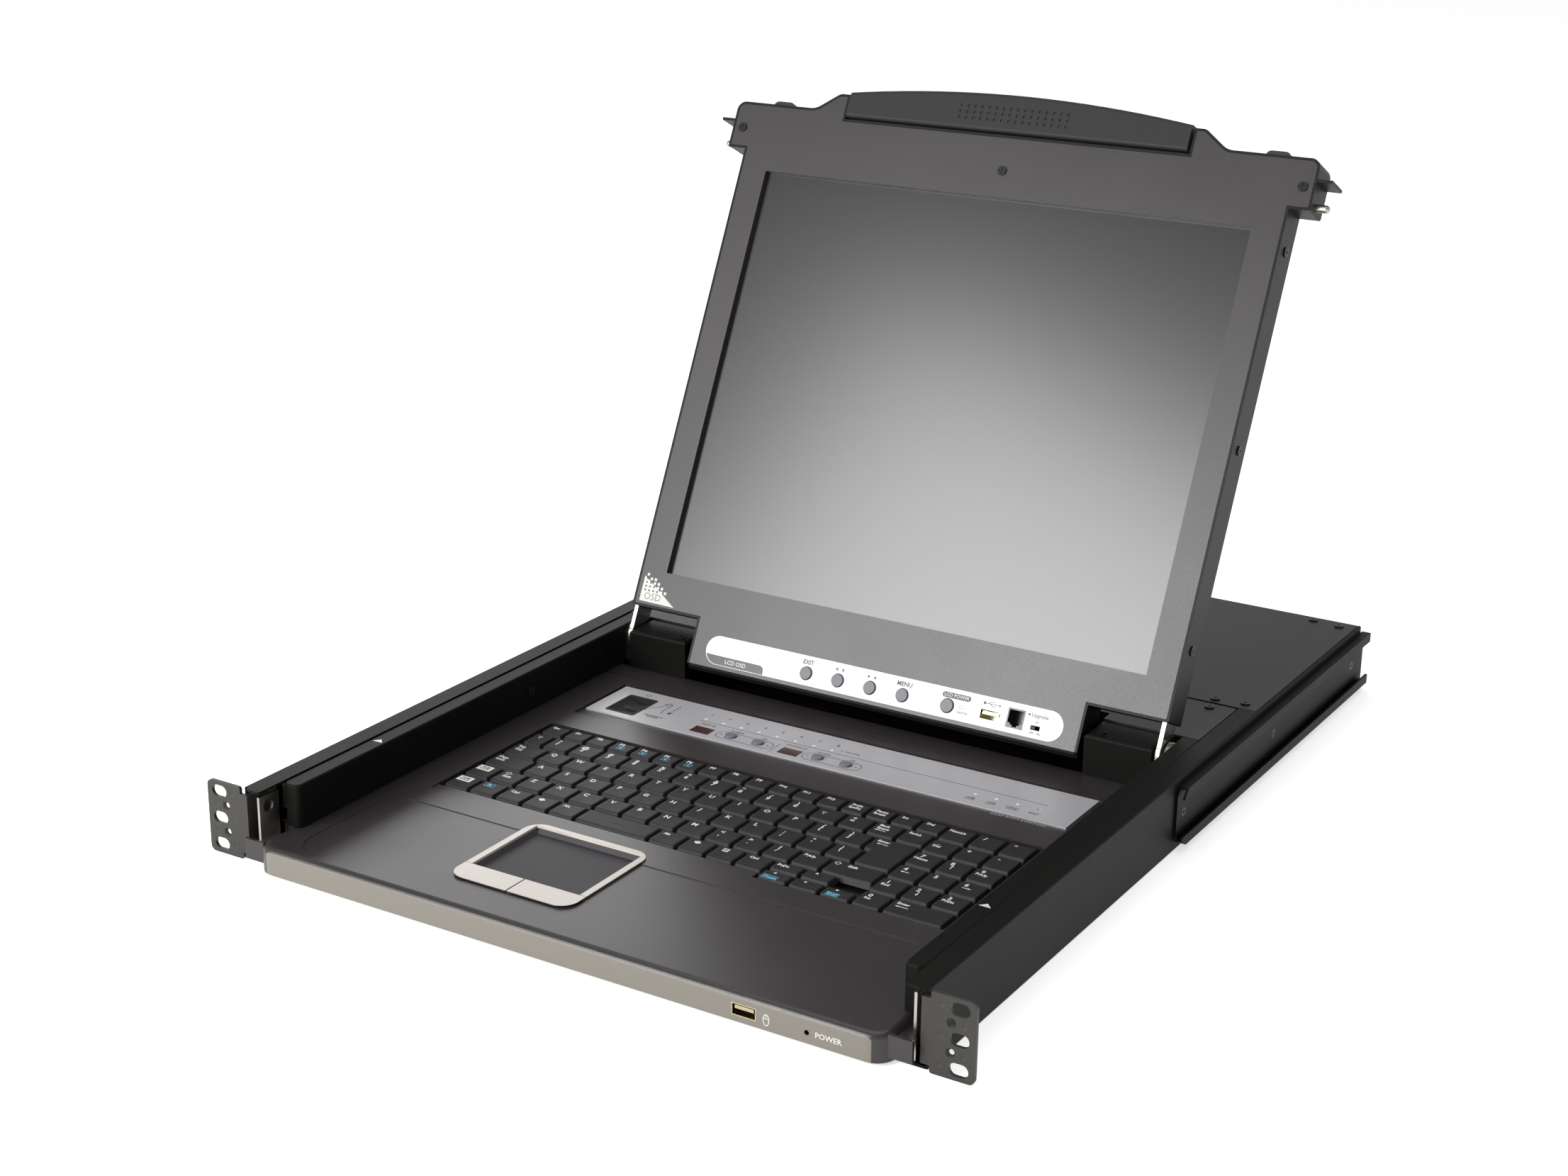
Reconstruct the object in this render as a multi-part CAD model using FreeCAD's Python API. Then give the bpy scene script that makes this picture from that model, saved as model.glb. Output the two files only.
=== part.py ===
import FreeCAD, Part
import math
import os

# A 1U rack console: a display module and a keyboard module that slide out of one steel frame.
# X points right as seen from the front, Y into the rack, Z up. The origin is the centre of the
# rack holes, on the front face of the rack ears. Sizes are in millimetres.

# ---- rack interface -------------------------------------------------------------------------
EAR_SPAN = 482.6
HOLE_INSET = 8.75
HOLE_STEP = 15.875
EAR_HEIGHT = 43.4
EAR_SHEET = 2.0
EAR_INSET = 3.5
EAR_NECK = 5.0
EAR_STEP = 3.9
EAR_CORNER = 3.5
EAR_PILOT_IN = 4.6
DENT_R = 5.0
DENT_DEPTH = 0.35
DENT_IN = 9.7
DENT_OUT = 2.4
DENT_RISE = 0.8
LEG_LENGTH = 22.0
SLOT_LENGTH = 10.5
SLOT_WIDTH = 7.0

# ---- outer frame ----------------------------------------------------------------------------
EAR_REACH = 25.8
FRAME_HEIGHT = 44.0
FRAME_SHEET = 1.5
FRAME_LENGTH = 596.0
TOP_FLANGE = 12.5
BOTTOM_FLANGE = 10.5
RAIL_FRONT = 2.5
COVER_FRONT = 414.8
COVER_SHEET = 1.2
COVER_GAP = 0.5
SHELF_WIDTH = 16.0
TRAY_FLANGE = 11.0
CABLE_SLOT_WIDTH = 70.0
CABLE_SLOT_HEIGHT = 14.0
CABLE_SLOT_X = 75.0
CABLE_SLOT_Z = 4.0

# ---- rear channels on the frame's sides -----------------------------------------------------
CHANNEL_PROUD = 3.0
CHANNEL_LENGTH = 308.0
CHANNEL_HEIGHT = 35.0
CHANNEL_DEPTH = 6.0
CHANNEL_LIP = 6.0
CHANNEL_SCREW_INSET = 10.0
CHANNEL_SCREW_REAR = 21.0
CHANNEL_SCREWS = 3

# ---- fits and clearances --------------------------------------------------------------------
RUN_GAP = 0.35
SLIDE_EASE = 0.1
SEAM = 0.6
WALL_FLOAT = 0.4

# ---- catch plates behind the ears ------------------------------------------------------------
CATCH_PLATE_GAP = 4.3
CATCH_PLATE_FRONT = 3.5
CATCH_PLATE_LENGTH = 15.5
CATCH_PLATE_TOP = 16.5
CATCH_HOLE_R = 4.0

# ---- display carriage -----------------------------------------------------------------------
WALL_WIDTH = 10.8
WALL_FRONT = 18.5
WALL_TOP = 21.4
WALL_SHEET = 1.2
TIE_FRONT = 355.3
TIE_SHEET = 1.2
TIE_STEP = 0.2
TIE_SCREW_IN = 4.6
TIE_SCREW_INSET = 6.6
WALL_SCREW_Y = (232.0, 306.0)
WALL_SCREW_Z = 8.0
TIE_CUT_DEPTH = 10.0
HINGE_COVER_GAP = 7.6
HINGE_COVER_WIDTH = 43.0
HINGE_SCREW_IN = 7.5
HINGE_COVER_FRONT = 328.5
HINGE_COVER_REAR = 353.7
HINGE_COVER_TOP = 20.6
HINGE_TAB = 17.0
HINGE_SHEET = 2.0
HINGE_PIN_R = 3.0
HINGE_PIN_IN = 9.0
HINGE_PIN_OUT = 3.8
HINGE_FIT = 0.05
ARM_SHEET = 2.5
ARM_R = 12.0
ARM_RISE = 60.0
ARM_EASE = 1.6
BRACKET_SHEET = 3.2
BRACKET_R = 8.0
HINGE_Y = 343.0
HINGE_Z = 13.0
SLIDE_HEIGHT = 11.5
SLIDE_SHEET = 1.5
DISPLAY_SLIDE_Z = 10.75
SLIDE_FRONT = 24.0
SLIDE_REAR = 412.0

# ---- display, in its own plane: x across, y up the screen, z out of the screen ---------------
TILT = 25.63
PIVOT_BELOW = 42.4
PIVOT_BEHIND = 13.3
DISPLAY_GAP = 2.6
DISPLAY_DEPTH = 21.4
BEZEL_SHEET = 1.6
BEZEL_FIT = 0.1
BEZEL_SCREW_Y = 289.2
BEZEL_SCREW_IN = 7.7
CATCH_SCREW_Y = 299.4
SIDE_SCREW_Y = (20.0, 141.0, 262.0)
SHELL_SHEET = 1.6
SCREEN_SIDE = 20.0
SCREEN_HEIGHT = 272.0
SCREEN_RECESS = 4.0
PANEL_MARGIN = 6.0
PANEL_DEPTH = 8.0
CHIN = 24.4
FOOT_GAP = 3.2
FOOT_BELOW = 56.7
FOOT_SLOPE = 5.0
FOOT_BEVEL = 3.4
CATCH_EASE = 0.4
CATCH_BOTTOM = 285.6
HEAD_TOP = 317.0
CATCH_CORNER = 6.0
SHOULDER_TOP = 328.3
SHOULDER_RUN = 37.0
SHOULDER_WIDTH = 16.0
HANDLE_INSET = 8.6
HANDLE_GAP = 1.3
HANDLE_BOTTOM = 313.2
HANDLE_END_TOP = 329.8
HANDLE_RISE = 8.0
HANDLE_PROUD = 2.2
DIMPLE_COLUMNS = 16
DIMPLE_ROWS = 3
DIMPLE_STEP_X = 4.95
DIMPLE_STEP_Y = 3.85
DIMPLE_TOP = 328.0
DIMPLE_R = 1.1
DIMPLE_DEPTH = 0.6
FIN_REACH = 9.5
FIN_SHEET = 1.8
FIN_Y = 304.0
PIN_R = 2.4
PIN_REACH = 8.2
PIN_Y = 290.0
PIN_DEPTH = 10.05
PIN_TRAVEL = 8.0
THUMB_IN = 22.0
THUMB_WIDTH = 16.0
THUMB_RISE = 4.6
THUMB_SHEET = 4.0
STRIP_INSET = 11.7
STRIP_HEIGHT = 18.6
STRIP_Y = -41.6
STRIP_PROUD = 0.3
STRIP_SINK = 0.9
KNOB_R = 4.1
KNOB_COUNT = 4
KNOB_FLANGE = 1.0
KNOB_STEP = 22.9
KNOB_LEAD = 99.9
KNOB_Y = -43.3
KNOB_PROUD = 1.2
POWER_LEAD = 29.1
POWER_R = 4.3
USB_LEAD = 16.8
USB_WIDTH = 14.4
USB_HEIGHT = 7.0
USB_DEPTH = 13.0
USB_WALL = 0.6
USB_TONGUE = 1.9
JACK_LEAD = 13.7
JACK_Y = -41.8
JACK_WIDTH = 11.4
JACK_HEIGHT = 12.0
JACK_DEPTH = 12.0
JACK_WALL = 2.0
JACK_ROOF = 1.0
MOUTH_WIDTH = 9.6
MOUTH_HEIGHT = 8.0
LATCH_WIDTH = 6.2
LATCH_DROP = 1.1
SWITCH_IN = 17.6
SWITCH_SLOT = 6.0
SWITCH_HEIGHT = 2.8
SWITCH_TRAVEL = 2.4
SWITCH_Y = -44.7
SWITCH_PROUD = 1.4

# ---- keyboard module ------------------------------------------------------------------------
BOARD_EASE = 3.4
BOARD_FRONT = -10.0
DECK_REAR = 330.0
BOARD_REAR = 400.0
DECK_TOP = -4.5
DECK_SHEET = 2.0
BOARD_BOTTOM = -20.0
PAN_SHEET = 1.2
PAN_TOP = -7.0
DECK_CORNER = 11.0
DECK_LIP_R = 4.0
INLAY_MARGIN = 19.0
INLAY_FRONT = -3.0
INLAY_REAR = 85.0
INLAY_CORNER = 18.0
INLAY_DEPTH = 0.4
TAB_REACH = 11.5
TAB_FRONT = -5.0
RIDGE_Y = 313.0
TAB_HEIGHT = 12.7
KEYBOARD_SLIDE_Z = -11.5

# ---- keys -----------------------------------------------------------------------------------
KEY_LEFT = -166.8
KEY_PITCH = 18.76
KEY_REAR = 220.9
FUNCTION_DEPTH = 15.1
ROW_DEPTH = 18.75
PAD_ROW_DEPTH = 19.2
MAIN_UNITS = 14.78
PAD_PITCH = 18.6
KEY_SPACE = 0.9
KEY_CORNER = 0.8
FUNCTION_KEYS = 17
PAD_ROWS = 6
SPACE_LEFT = 4.97
SPACE_UNITS = 2.68
KEY_TOP = -4.6
KEY_HEIGHT = 4.0
KEY_TAPER = 0.9
KEY_FRONT_TAPER = 1.9
STEM_R = 2.0
STEM_LENGTH = 4.6
STEM_GAP = 0.3
FRONT_BAR_END = 51.3
FRONT_BAR_SINK = 0.7
WELL_MARGIN = 1.5
WELL_WALL = 1.5
WELL_CORNER = 2.0
KEY_PLATE_SHEET = 1.0
KEY_PLATE_TOP = -11.6

# ---- status panel behind the keys -----------------------------------------------------------
PANEL_MARGIN_X = 33.0
PANEL_FRONT = 254.3
PANEL_REAR = 298.7
PANEL_SHEET = 1.0
PANEL_FRAME_FRONT = 243.8
PANEL_FRAME_MARGIN = 2.2
PANEL_CORNER = 2.0
PANEL_SINK = 0.4
READER_IN = 21.3
READER_Y = 274.1
READER_WIDTH = 21.7
READER_LENGTH = 29.4
READER_CORNER = 2.0
READER_BAR = 1.2
READER_DEPTH = 7.5
READER_GROOVE = 3.4
READER_GROOVE_R = 16.275
READER_GROOVE_IN = 2.0
READER_BAR_WIDTH = 13.888
READER_BAR_LENGTH = 4.0
LIGHT_COUNT = 8
LIGHT_R = 1.4
LIGHT_FIRST = -92.7
LIGHT_STEP = 13.0
LIGHT_Y = 280.0
LOCK_IN = 64.7
LOCK_STEP = 13.6
LOCK_Y = 269.0
LOCK_COUNT = 3
RESET_R = 1.2
DIGIT_X = (-84.8, -21.6)
DIGIT_Y = 263.7
DIGIT_WIDTH = 13.7
DIGIT_LENGTH = 10.0
BUTTON_X = (-64.5, -45.0, -2.8, 16.8)
BUTTON_Y = 264.3
BUTTON_R = 3.6
BUTTON_PROUD = 1.5

# ---- touchpad -------------------------------------------------------------------------------
PAD_X = -47.2
PAD_WIDTH = 65.8
PAD_FRONT = 37.6
PAD_LENGTH = 52.7
PAD_RECESS = 3.2
PAD_SHEET = 2.0
PAD_SLOPE = 3.0
RING_WIDTH = 80.0
RING_FRONT = 17.9
RING_LENGTH = 79.0
RING_CORNER = 10.0
RING_TOP = -3.6
RING_LEDGE = 4.0
CLICK_LENGTH = 16.7
CLICK_SLIT = 0.8
CLICK_TRAVEL = 0.6

# ---- front edge of the keyboard -------------------------------------------------------------
FRONT_USB_IN = 79.5
FRONT_USB_Z = -13.3
FRONT_LIGHT_IN = 43.6
FRONT_LIGHT_Z = -14.2

# ---- rear box -------------------------------------------------------------------------------
SOCKET_COUNT = 9
SOCKET_LAST_IN = 20.0
SOCKET_FIRST_IN = 14.0
SOCKET_WIDTH = 16.9
SOCKET_HEIGHT = 8.3
SOCKET_REACH = 6.0
SOCKET_RIM = 0.8
SOCKET_SINK = 0.4
SOCKET_Z = 2.0
SOCKET_FLANGE = 5.0
SOCKET_BODY = 11.0
SOCKET_ROOF = 2.0
SOCKET_CORNER = 2.0
SOCKET_SLANT = 1.494
INLET_IN = 39.5
INLET_WIDTH = 27.0
INLET_HEIGHT = 19.5
INLET_DEPTH = 20.0
INLET_HOLLOW = 16.0
INLET_FRAME = 2.0
INLET_CORNER = 2.0
INLET_PINS = [(-7.0, -2.0), (0.0, 2.0), (7.0, -2.0)]
INLET_PIN_WIDTH = 2.0
INLET_PIN_HEIGHT = 4.0
INLET_PIN_LENGTH = 8.0
ROCKER_GAP = 5.0
ROCKER_WIDTH = 19.0
ROCKER_HEIGHT = 15.0
ROCKER_DEPTH = 8.0
ROCKER_ROOM = 5.0
ROCKER_EASE = 1.2
ROCKER_SWING = 16.0
ROCKER_SUNK = 0.5
ROCKER_ROUND = 0.6
ROCKER_BACK = 2.0
SUPPLY_WIDTH = 96.0
SUPPLY_ROOM = 28.2
SUPPLY_HEIGHT = 30.0
SUPPLY_IN = 65.5
SUPPLY_BACK = 40.0
BOARD_SHEET = 1.6
LOGIC_GAP = 12.0
LOGIC_ROOM = 47.2
LOGIC_IN = 19.5
LOGIC_STAND = 6.0
LOGIC_STAND_IN = 8.0
LOGIC_STAND_R = 3.0
LOGIC_BACK = 1.0
CHIP_COUNT = 5
CHIP_WIDTH = 20.0
CHIP_RISE = 2.0
CHIP_PLACE = 0.4

# ---- screws ---------------------------------------------------------------------------------
SCREW_R = 1.5
HEAD_R = 3.0
HEAD_HEIGHT = 0.9
CROSS_LENGTH = 4.2
CROSS_WIDTH = 0.66
CROSS_DEPTH = 0.495
SCREW_LENGTH = 5.0
SCREW_FIT = 0.05
FLAT_HEAD = 1.3
END_SCREW_IN = 30.5
END_SCREW_INSET = 6.0
SIDE_SCREW_IN = 12.0
SIDE_SCREW_INSET = 8.5

# ---- places worked out from the sizes above --------------------------------------------------
frame_half = EAR_SPAN / 2 - EAR_REACH
hole_x = EAR_SPAN / 2 - HOLE_INSET
frame_top = FRAME_HEIGHT / 2
web_in = frame_half - FRAME_SHEET
ear_in = web_in - EAR_SHEET
flange_in = frame_half - TOP_FLANGE
bottom_in = frame_half - BOTTOM_FLANGE
shelf_in = web_in - SHELF_WIDTH
cover_low = frame_top - COVER_SHEET
shelf_low = cover_low - FRAME_SHEET
tray_low = -frame_top + FRAME_SHEET
bulkhead_front = COVER_FRONT + FRAME_SHEET
panel_in = FRAME_LENGTH - FRAME_SHEET
end_screw_x = frame_half - END_SCREW_IN
side_screw_x = frame_half - SIDE_SCREW_IN
channel_front = FRAME_LENGTH + CHANNEL_PROUD - CHANNEL_LENGTH
channel_screw_span = CHANNEL_LENGTH - CHANNEL_SCREW_INSET - CHANNEL_SCREW_REAR
channel_screw_step = channel_screw_span / (CHANNEL_SCREWS - 1)

wall_out = flange_in - SEAM
wall_in = wall_out - WALL_WIDTH
wall_low = DECK_TOP + WALL_FLOAT
tie_top = WALL_TOP + TIE_STEP
tie_low = tie_top - TIE_SHEET
tie_rear = COVER_FRONT - 2 * SEAM
tie_screw_x = wall_in - TIE_SCREW_IN
hinge_cover_in = wall_in - HINGE_COVER_GAP - HINGE_COVER_WIDTH

display_half = wall_in - DISPLAY_GAP
screen_width = 2 * (display_half - SCREEN_SIDE)
foot_half = hinge_cover_in - FOOT_GAP
catch_half = wall_out - CATCH_EASE
thumb_out = catch_half - THUMB_IN
shoulder_out = thumb_out - SHOULDER_RUN
shoulder_in = shoulder_out - SHOULDER_WIDTH
handle_half = shoulder_in - HANDLE_INSET
arm_out = display_half - SHELL_SHEET
arm_in = arm_out - ARM_SHEET
handle_seat = HANDLE_BOTTOM - HANDLE_GAP
rim_height = SCREEN_HEIGHT + 2 * SHELL_SHEET
strip_half = foot_half - STRIP_INSET
switch_x = strip_half - SWITCH_IN
jack_x = switch_x - JACK_LEAD
usb_x = jack_x - USB_LEAD
power_x = usb_x - POWER_LEAD
knob_first = power_x - KNOB_LEAD
button_low = -BEZEL_SHEET - RUN_GAP - KNOB_FLANGE
catch_plate_in = catch_half + CATCH_PLATE_GAP
catch_plate_out = catch_plate_in + FRAME_SHEET
catch_y = HINGE_Y - PIVOT_BELOW - PIN_Y
catch_z = HINGE_Z - PIVOT_BEHIND + PIN_DEPTH
slide_out = catch_plate_in - RUN_GAP - SLIDE_EASE

board_half = wall_out - BOARD_EASE
pan_half = board_half - DECK_SHEET - 0.1
inlay_half = board_half - INLAY_MARGIN
key_low = KEY_TOP - KEY_HEIGHT
well_x = -KEY_LEFT + WELL_MARGIN
well_rear = KEY_REAR + WELL_MARGIN
block_front = KEY_REAR - FUNCTION_DEPTH - 5 * ROW_DEPTH
pad_front = KEY_REAR - PAD_ROWS * PAD_ROW_DEPTH
well_front = pad_front - WELL_MARGIN
panel_half = board_half - PANEL_MARGIN_X
panel_top = DECK_TOP - PANEL_SINK
panel_floor = panel_top - PANEL_SHEET
reader_x = READER_IN - panel_half
lock_first = panel_half - LOCK_IN
front_usb_x = board_half - FRONT_USB_IN
front_light_x = board_half - FRONT_LIGHT_IN
deck_under = DECK_TOP - DECK_SHEET
inlay_floor = DECK_TOP - INLAY_DEPTH
pad_top = RING_TOP - PAD_RECESS
ring_low = pad_top - PAD_SHEET
pad_mid = PAD_FRONT + PAD_LENGTH / 2
click_rear = RING_FRONT + CLICK_LENGTH
click_low = inlay_floor - 2.0

board_top = tray_low + LOGIC_STAND + BOARD_SHEET
board_rear = panel_in - LOGIC_BACK
supply_rear = panel_in - SUPPLY_BACK
supply_x = SUPPLY_IN - frame_half
logic_left = supply_x + SUPPLY_WIDTH / 2 + LOGIC_GAP
logic_right = frame_half - LOGIC_IN
inlet_x = INLET_IN - frame_half
rocker_x = inlet_x + INLET_WIDTH / 2 + ROCKER_GAP + ROCKER_WIDTH / 2
inlet_mid = (inlet_x - INLET_WIDTH / 2 + rocker_x + ROCKER_WIDTH / 2) / 2
socket_first = logic_left + SOCKET_FIRST_IN
socket_step = (logic_right - SOCKET_LAST_IN - socket_first) / (SOCKET_COUNT - 1)

X = FreeCAD.Vector(1, 0, 0)
Y = FreeCAD.Vector(0, 1, 0)
Z = FreeCAD.Vector(0, 0, 1)
SQUARE = [(-1, -1), (1, -1), (1, 1), (-1, 1)]


# ---- building blocks ------------------------------------------------------------------------
def block(x, y, z):
    """A box from three (low, high) pairs in any order."""
    low = [min(pair) for pair in (x, y, z)]
    high = [max(pair) for pair in (x, y, z)]
    sizes = [b - a for a, b in zip(low, high)]
    return Part.makeBox(*sizes, FreeCAD.Vector(*low))


def rod(start, direction, radius, length):
    """A cylinder from a start point along a direction."""
    return Part.makeCylinder(radius, length, FreeCAD.Vector(*start), direction)


def outline(corners):
    """A closed wire through (x, y, radius) corners; a radius rounds its corner with an arc."""
    ends = []
    count = len(corners)
    for i, (x, y, radius) in enumerate(corners):
        here = FreeCAD.Vector(x, y, 0)
        before = (FreeCAD.Vector(*corners[i - 1][:2], 0) - here).normalize()
        after = (FreeCAD.Vector(*corners[(i + 1) % count][:2], 0) - here).normalize()
        if radius == 0:
            ends.append((here, None, here))
            continue
        half = before.getAngle(after) / 2
        reach = radius / math.tan(half)
        middle = (before + after).normalize() * (radius / math.sin(half) - radius)
        ends.append((here + before * reach, here + middle, here + after * reach))
    edges = []
    for i, (first, middle, last) in enumerate(ends):
        if middle is not None:
            edges.append(Part.Arc(first, middle, last).toShape())
        following = ends[(i + 1) % count][0]
        if last.distanceToPoint(following) > 1e-6:
            edges.append(Part.LineSegment(last, following).toShape())
    return Part.Wire(edges)


def plate(corners, low, high):
    """A flat plate with the given outline, between two heights."""
    face = Part.Face(outline(corners))
    face.translate(Z * low)
    return face.extrude(Z * (high - low))


def pad(x, y, radius, low, high):
    """A plate with four equal rounded corners, from two (low, high) pairs."""
    corners = [(x[0], y[0], radius), (x[1], y[0], radius), (x[1], y[1], radius), (x[0], y[1], radius)]
    return plate(corners, low, high)


def mirrored(shape):
    """The same piece on the other side of the drawer."""
    return shape.mirror(FreeCAD.Vector(0, 0, 0), X)


def pair(shape):
    """A right-hand piece and its mirror image."""
    return [shape, mirrored(shape)]


def section(points, y_low, y_high):
    """A bar along Y whose cross-section is a polygon of (x, z) points."""
    corners = [FreeCAD.Vector(x, y_low, z) for x, z in points]
    face = Part.Face(Part.makePolygon(corners + corners[:1]))
    return face.extrude(Y * (y_high - y_low))


def screw(point, inward):
    """A pan-head screw whose head stands on the surface at the point and goes inward."""
    head = rod(point, inward * -1, HEAD_R, HEAD_HEIGHT)
    cross = Part.makeBox(CROSS_LENGTH, CROSS_WIDTH, HEAD_HEIGHT)
    cross.translate(FreeCAD.Vector(-CROSS_LENGTH / 2, -CROSS_WIDTH / 2, HEAD_HEIGHT - CROSS_DEPTH))
    turned = cross.copy()
    turned.rotate(FreeCAD.Vector(0, 0, 0), Z, 90)
    drive = cross.fuse(turned)
    drive.Placement = FreeCAD.Placement(FreeCAD.Vector(*point), FreeCAD.Rotation(Z, inward * -1))
    return head.cut(drive).fuse(rod(point, inward, SCREW_R, SCREW_LENGTH)).removeSplitter()


def screw_hole(point, inward):
    """The clearance that a screw's shank needs."""
    return rod(point, inward, SCREW_R + SCREW_FIT, SCREW_LENGTH + 0.2)


def flat_screw(point, inward):
    """A countersunk screw whose head lies flush with the surface at the point."""
    return flat_body(point, inward, 0, SCREW_LENGTH)


def flat_hole(point, inward):
    """The countersunk hole for a flat screw."""
    return flat_body(point, inward, SCREW_FIT, SCREW_LENGTH + 0.2)


def flat_body(point, inward, grow, length):
    """A cone and a shank, grown by a clearance."""
    place = FreeCAD.Vector(*point)
    cone = Part.makeCone(HEAD_R * 0.85 + grow, SCREW_R + grow, FLAT_HEAD, place, inward)
    return cone.fuse(rod(point, inward, SCREW_R + grow, length)).removeSplitter()


def tilted(shape):
    """Moves a piece from the display's own plane to where the open display stands."""
    lean = math.radians(TILT)
    y = HINGE_Y + PIVOT_BELOW * math.sin(lean) - PIVOT_BEHIND * math.cos(lean)
    z = HINGE_Z + PIVOT_BELOW * math.cos(lean) + PIVOT_BEHIND * math.sin(lean)
    turn = FreeCAD.Placement(FreeCAD.Vector(0, y, z), FreeCAD.Rotation(X, 90 - TILT))
    moved = shape.copy()
    moved.Placement = turn.multiply(moved.Placement)
    return moved


def save(name, shapes):
    """Writes one node, a single solid or a group of separate solids."""
    solids = []
    for shape in shapes if isinstance(shapes, list) else [shapes]:
        solids.extend(shape.Solids)
    result = solids[0] if len(solids) == 1 else Part.makeCompound(solids)
    result.exportStep("parts/" + name + ".step")


# ---- outer frame ----------------------------------------------------------------------------
def upright(corners, front, rear):
    """A flat plate that stands across the drawer, from (x, z) corners."""
    sheet = plate(corners, -rear, -front)
    sheet.rotate(FreeCAD.Vector(0, 0, 0), X, 90)
    return sheet


def side_points():
    """The right-hand rear channel's screws, on the bottom of the channel."""
    x = frame_half + FRAME_SHEET
    first = channel_front + CHANNEL_SCREW_INSET
    return [(x, first + i * channel_screw_step, 0) for i in range(CHANNEL_SCREWS)]


def cover_points():
    """The right-hand screws that hold the rear cover down."""
    rear = FRAME_LENGTH - COVER_GAP
    return [
        (end_screw_x, COVER_FRONT + END_SCREW_INSET, frame_top),
        (side_screw_x, COVER_FRONT + SIDE_SCREW_INSET, frame_top),
        (end_screw_x, rear - END_SCREW_INSET, frame_top),
        (side_screw_x, rear - SIDE_SCREW_INSET, frame_top),
    ]


def side_rail():
    """Right-hand side member: web, top flange over the slides, cover shelf and bottom flange."""
    flange_rear = COVER_FRONT - SEAM
    web = block((web_in, frame_half), (RAIL_FRONT, FRAME_LENGTH), (-frame_top, frame_top))
    nose = flange_in + TOP_FLANGE * 0.6
    top = plate(
        [
            (flange_in, 0, 1.5),
            (nose, 0, 1.5),
            (web_in, RAIL_FRONT, 0),
            (frame_half, RAIL_FRONT, 0),
            (frame_half, flange_rear, 0),
            (flange_in, flange_rear, 0),
        ],
        frame_top - FRAME_SHEET,
        frame_top,
    )
    shelf = block((shelf_in, frame_half), (bulkhead_front, panel_in), (shelf_low, cover_low))
    bottom = block((bottom_in, frame_half), (RAIL_FRONT, FRAME_LENGTH), (-frame_top, tray_low))
    rail = web.fuse([top, shelf, bottom]).removeSplitter()
    bends = [edge for edge in rail.Edges if is_outer_bend(edge)]
    rail = rail.makeFillet(FRAME_SHEET * 0.8, bends)
    tools = [screw_hole(point, Z * -1) for point in cover_points()]
    tools += [screw_hole(point, X * -1) for point in side_points()]
    return rail.cut(tools)


def is_outer_bend(edge):
    """True for the long bends at the rail's outer top and bottom corners."""
    box = edge.BoundBox
    is_long = box.YLength > COVER_FRONT / 2
    is_outside = box.XMin > frame_half - 0.01
    is_corner = min(abs(box.ZMin - frame_top), abs(box.ZMin + frame_top)) < 0.01
    return is_long and is_outside and is_corner


def rear_channel():
    """A rolled channel on the frame's side that a rack's rear bracket slides into."""
    half = CHANNEL_HEIGHT / 2
    mouth = half - CHANNEL_LIP
    inner = half - FRAME_SHEET
    low = frame_half
    top = frame_half + CHANNEL_DEPTH
    floor = low + FRAME_SHEET
    lip = top - FRAME_SHEET
    upper = [(lip, mouth), (top, mouth), (top, half), (low, half)]
    lower = [(low, -half), (top, -half), (top, -mouth), (lip, -mouth)]
    inside = [(lip, -inner), (floor, -inner), (floor, inner), (lip, inner)]
    channel = section(upper + lower + inside, channel_front, channel_front + CHANNEL_LENGTH)
    for sign in (-1, 1):
        corners = [
            (channel_front - 1, sign * (half - CHANNEL_LIP)),
            (channel_front + CHANNEL_LIP, sign * (half + 1)),
            (channel_front - 1, sign * (half + 1)),
        ]
        points = [FreeCAD.Vector(low - 1, y, z) for y, z in corners]
        wedge = Part.Face(Part.makePolygon(points + points[:1])).extrude(X * (CHANNEL_DEPTH + 2))
        channel = channel.cut(wedge)
    return channel.cut([flat_hole(point, X * -1) for point in side_points()])


def rack_ear():
    """Right-hand rack ear: a flange with three slots and a leg along the inside of the rail."""
    half = EAR_HEIGHT / 2
    step = half - EAR_STEP
    edge = EAR_SPAN / 2
    neck = ear_in + EAR_NECK
    flange = upright(
        [
            (ear_in, -step, 0),
            (neck, -step, 0),
            (neck, -half, 1.5),
            (edge, -half, EAR_CORNER),
            (edge, half, EAR_CORNER),
            (neck, half, 1.5),
            (neck, step, 0),
            (ear_in, step, 0),
        ],
        0,
        EAR_SHEET,
    )
    leg = block((ear_in, web_in), (0, LEG_LENGTH), (-step, step))
    ear = flange.fuse(leg).removeSplitter()
    half_long = SLOT_LENGTH / 2
    half_wide = SLOT_WIDTH / 2
    tools = []
    for row in (-1, 0, 1):
        z = row * HOLE_STEP
        corners = [(-1, -1), (1, -1), (1, 1), (-1, 1)]
        slot = [(hole_x + i * half_long, z + j * half_wide, half_wide - 0.001) for i, j in corners]
        tools.append(upright(slot, -1, EAR_SHEET + 1))
        tools.append(dent(hole_x - DENT_IN, z + DENT_RISE))
    for row in (-0.5, 0.5):
        z = row * HOLE_STEP
        tools.append(flat_hole((hole_x - EAR_PILOT_IN, 0, z), Y))
        tools.append(dent(hole_x + DENT_OUT, z))
    return ear.cut(tools)


def dent(x, z):
    """The ball that leaves one shallow dent in the front of a rack ear."""
    return Part.makeSphere(DENT_R, FreeCAD.Vector(x, DENT_DEPTH - DENT_R, z))


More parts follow.
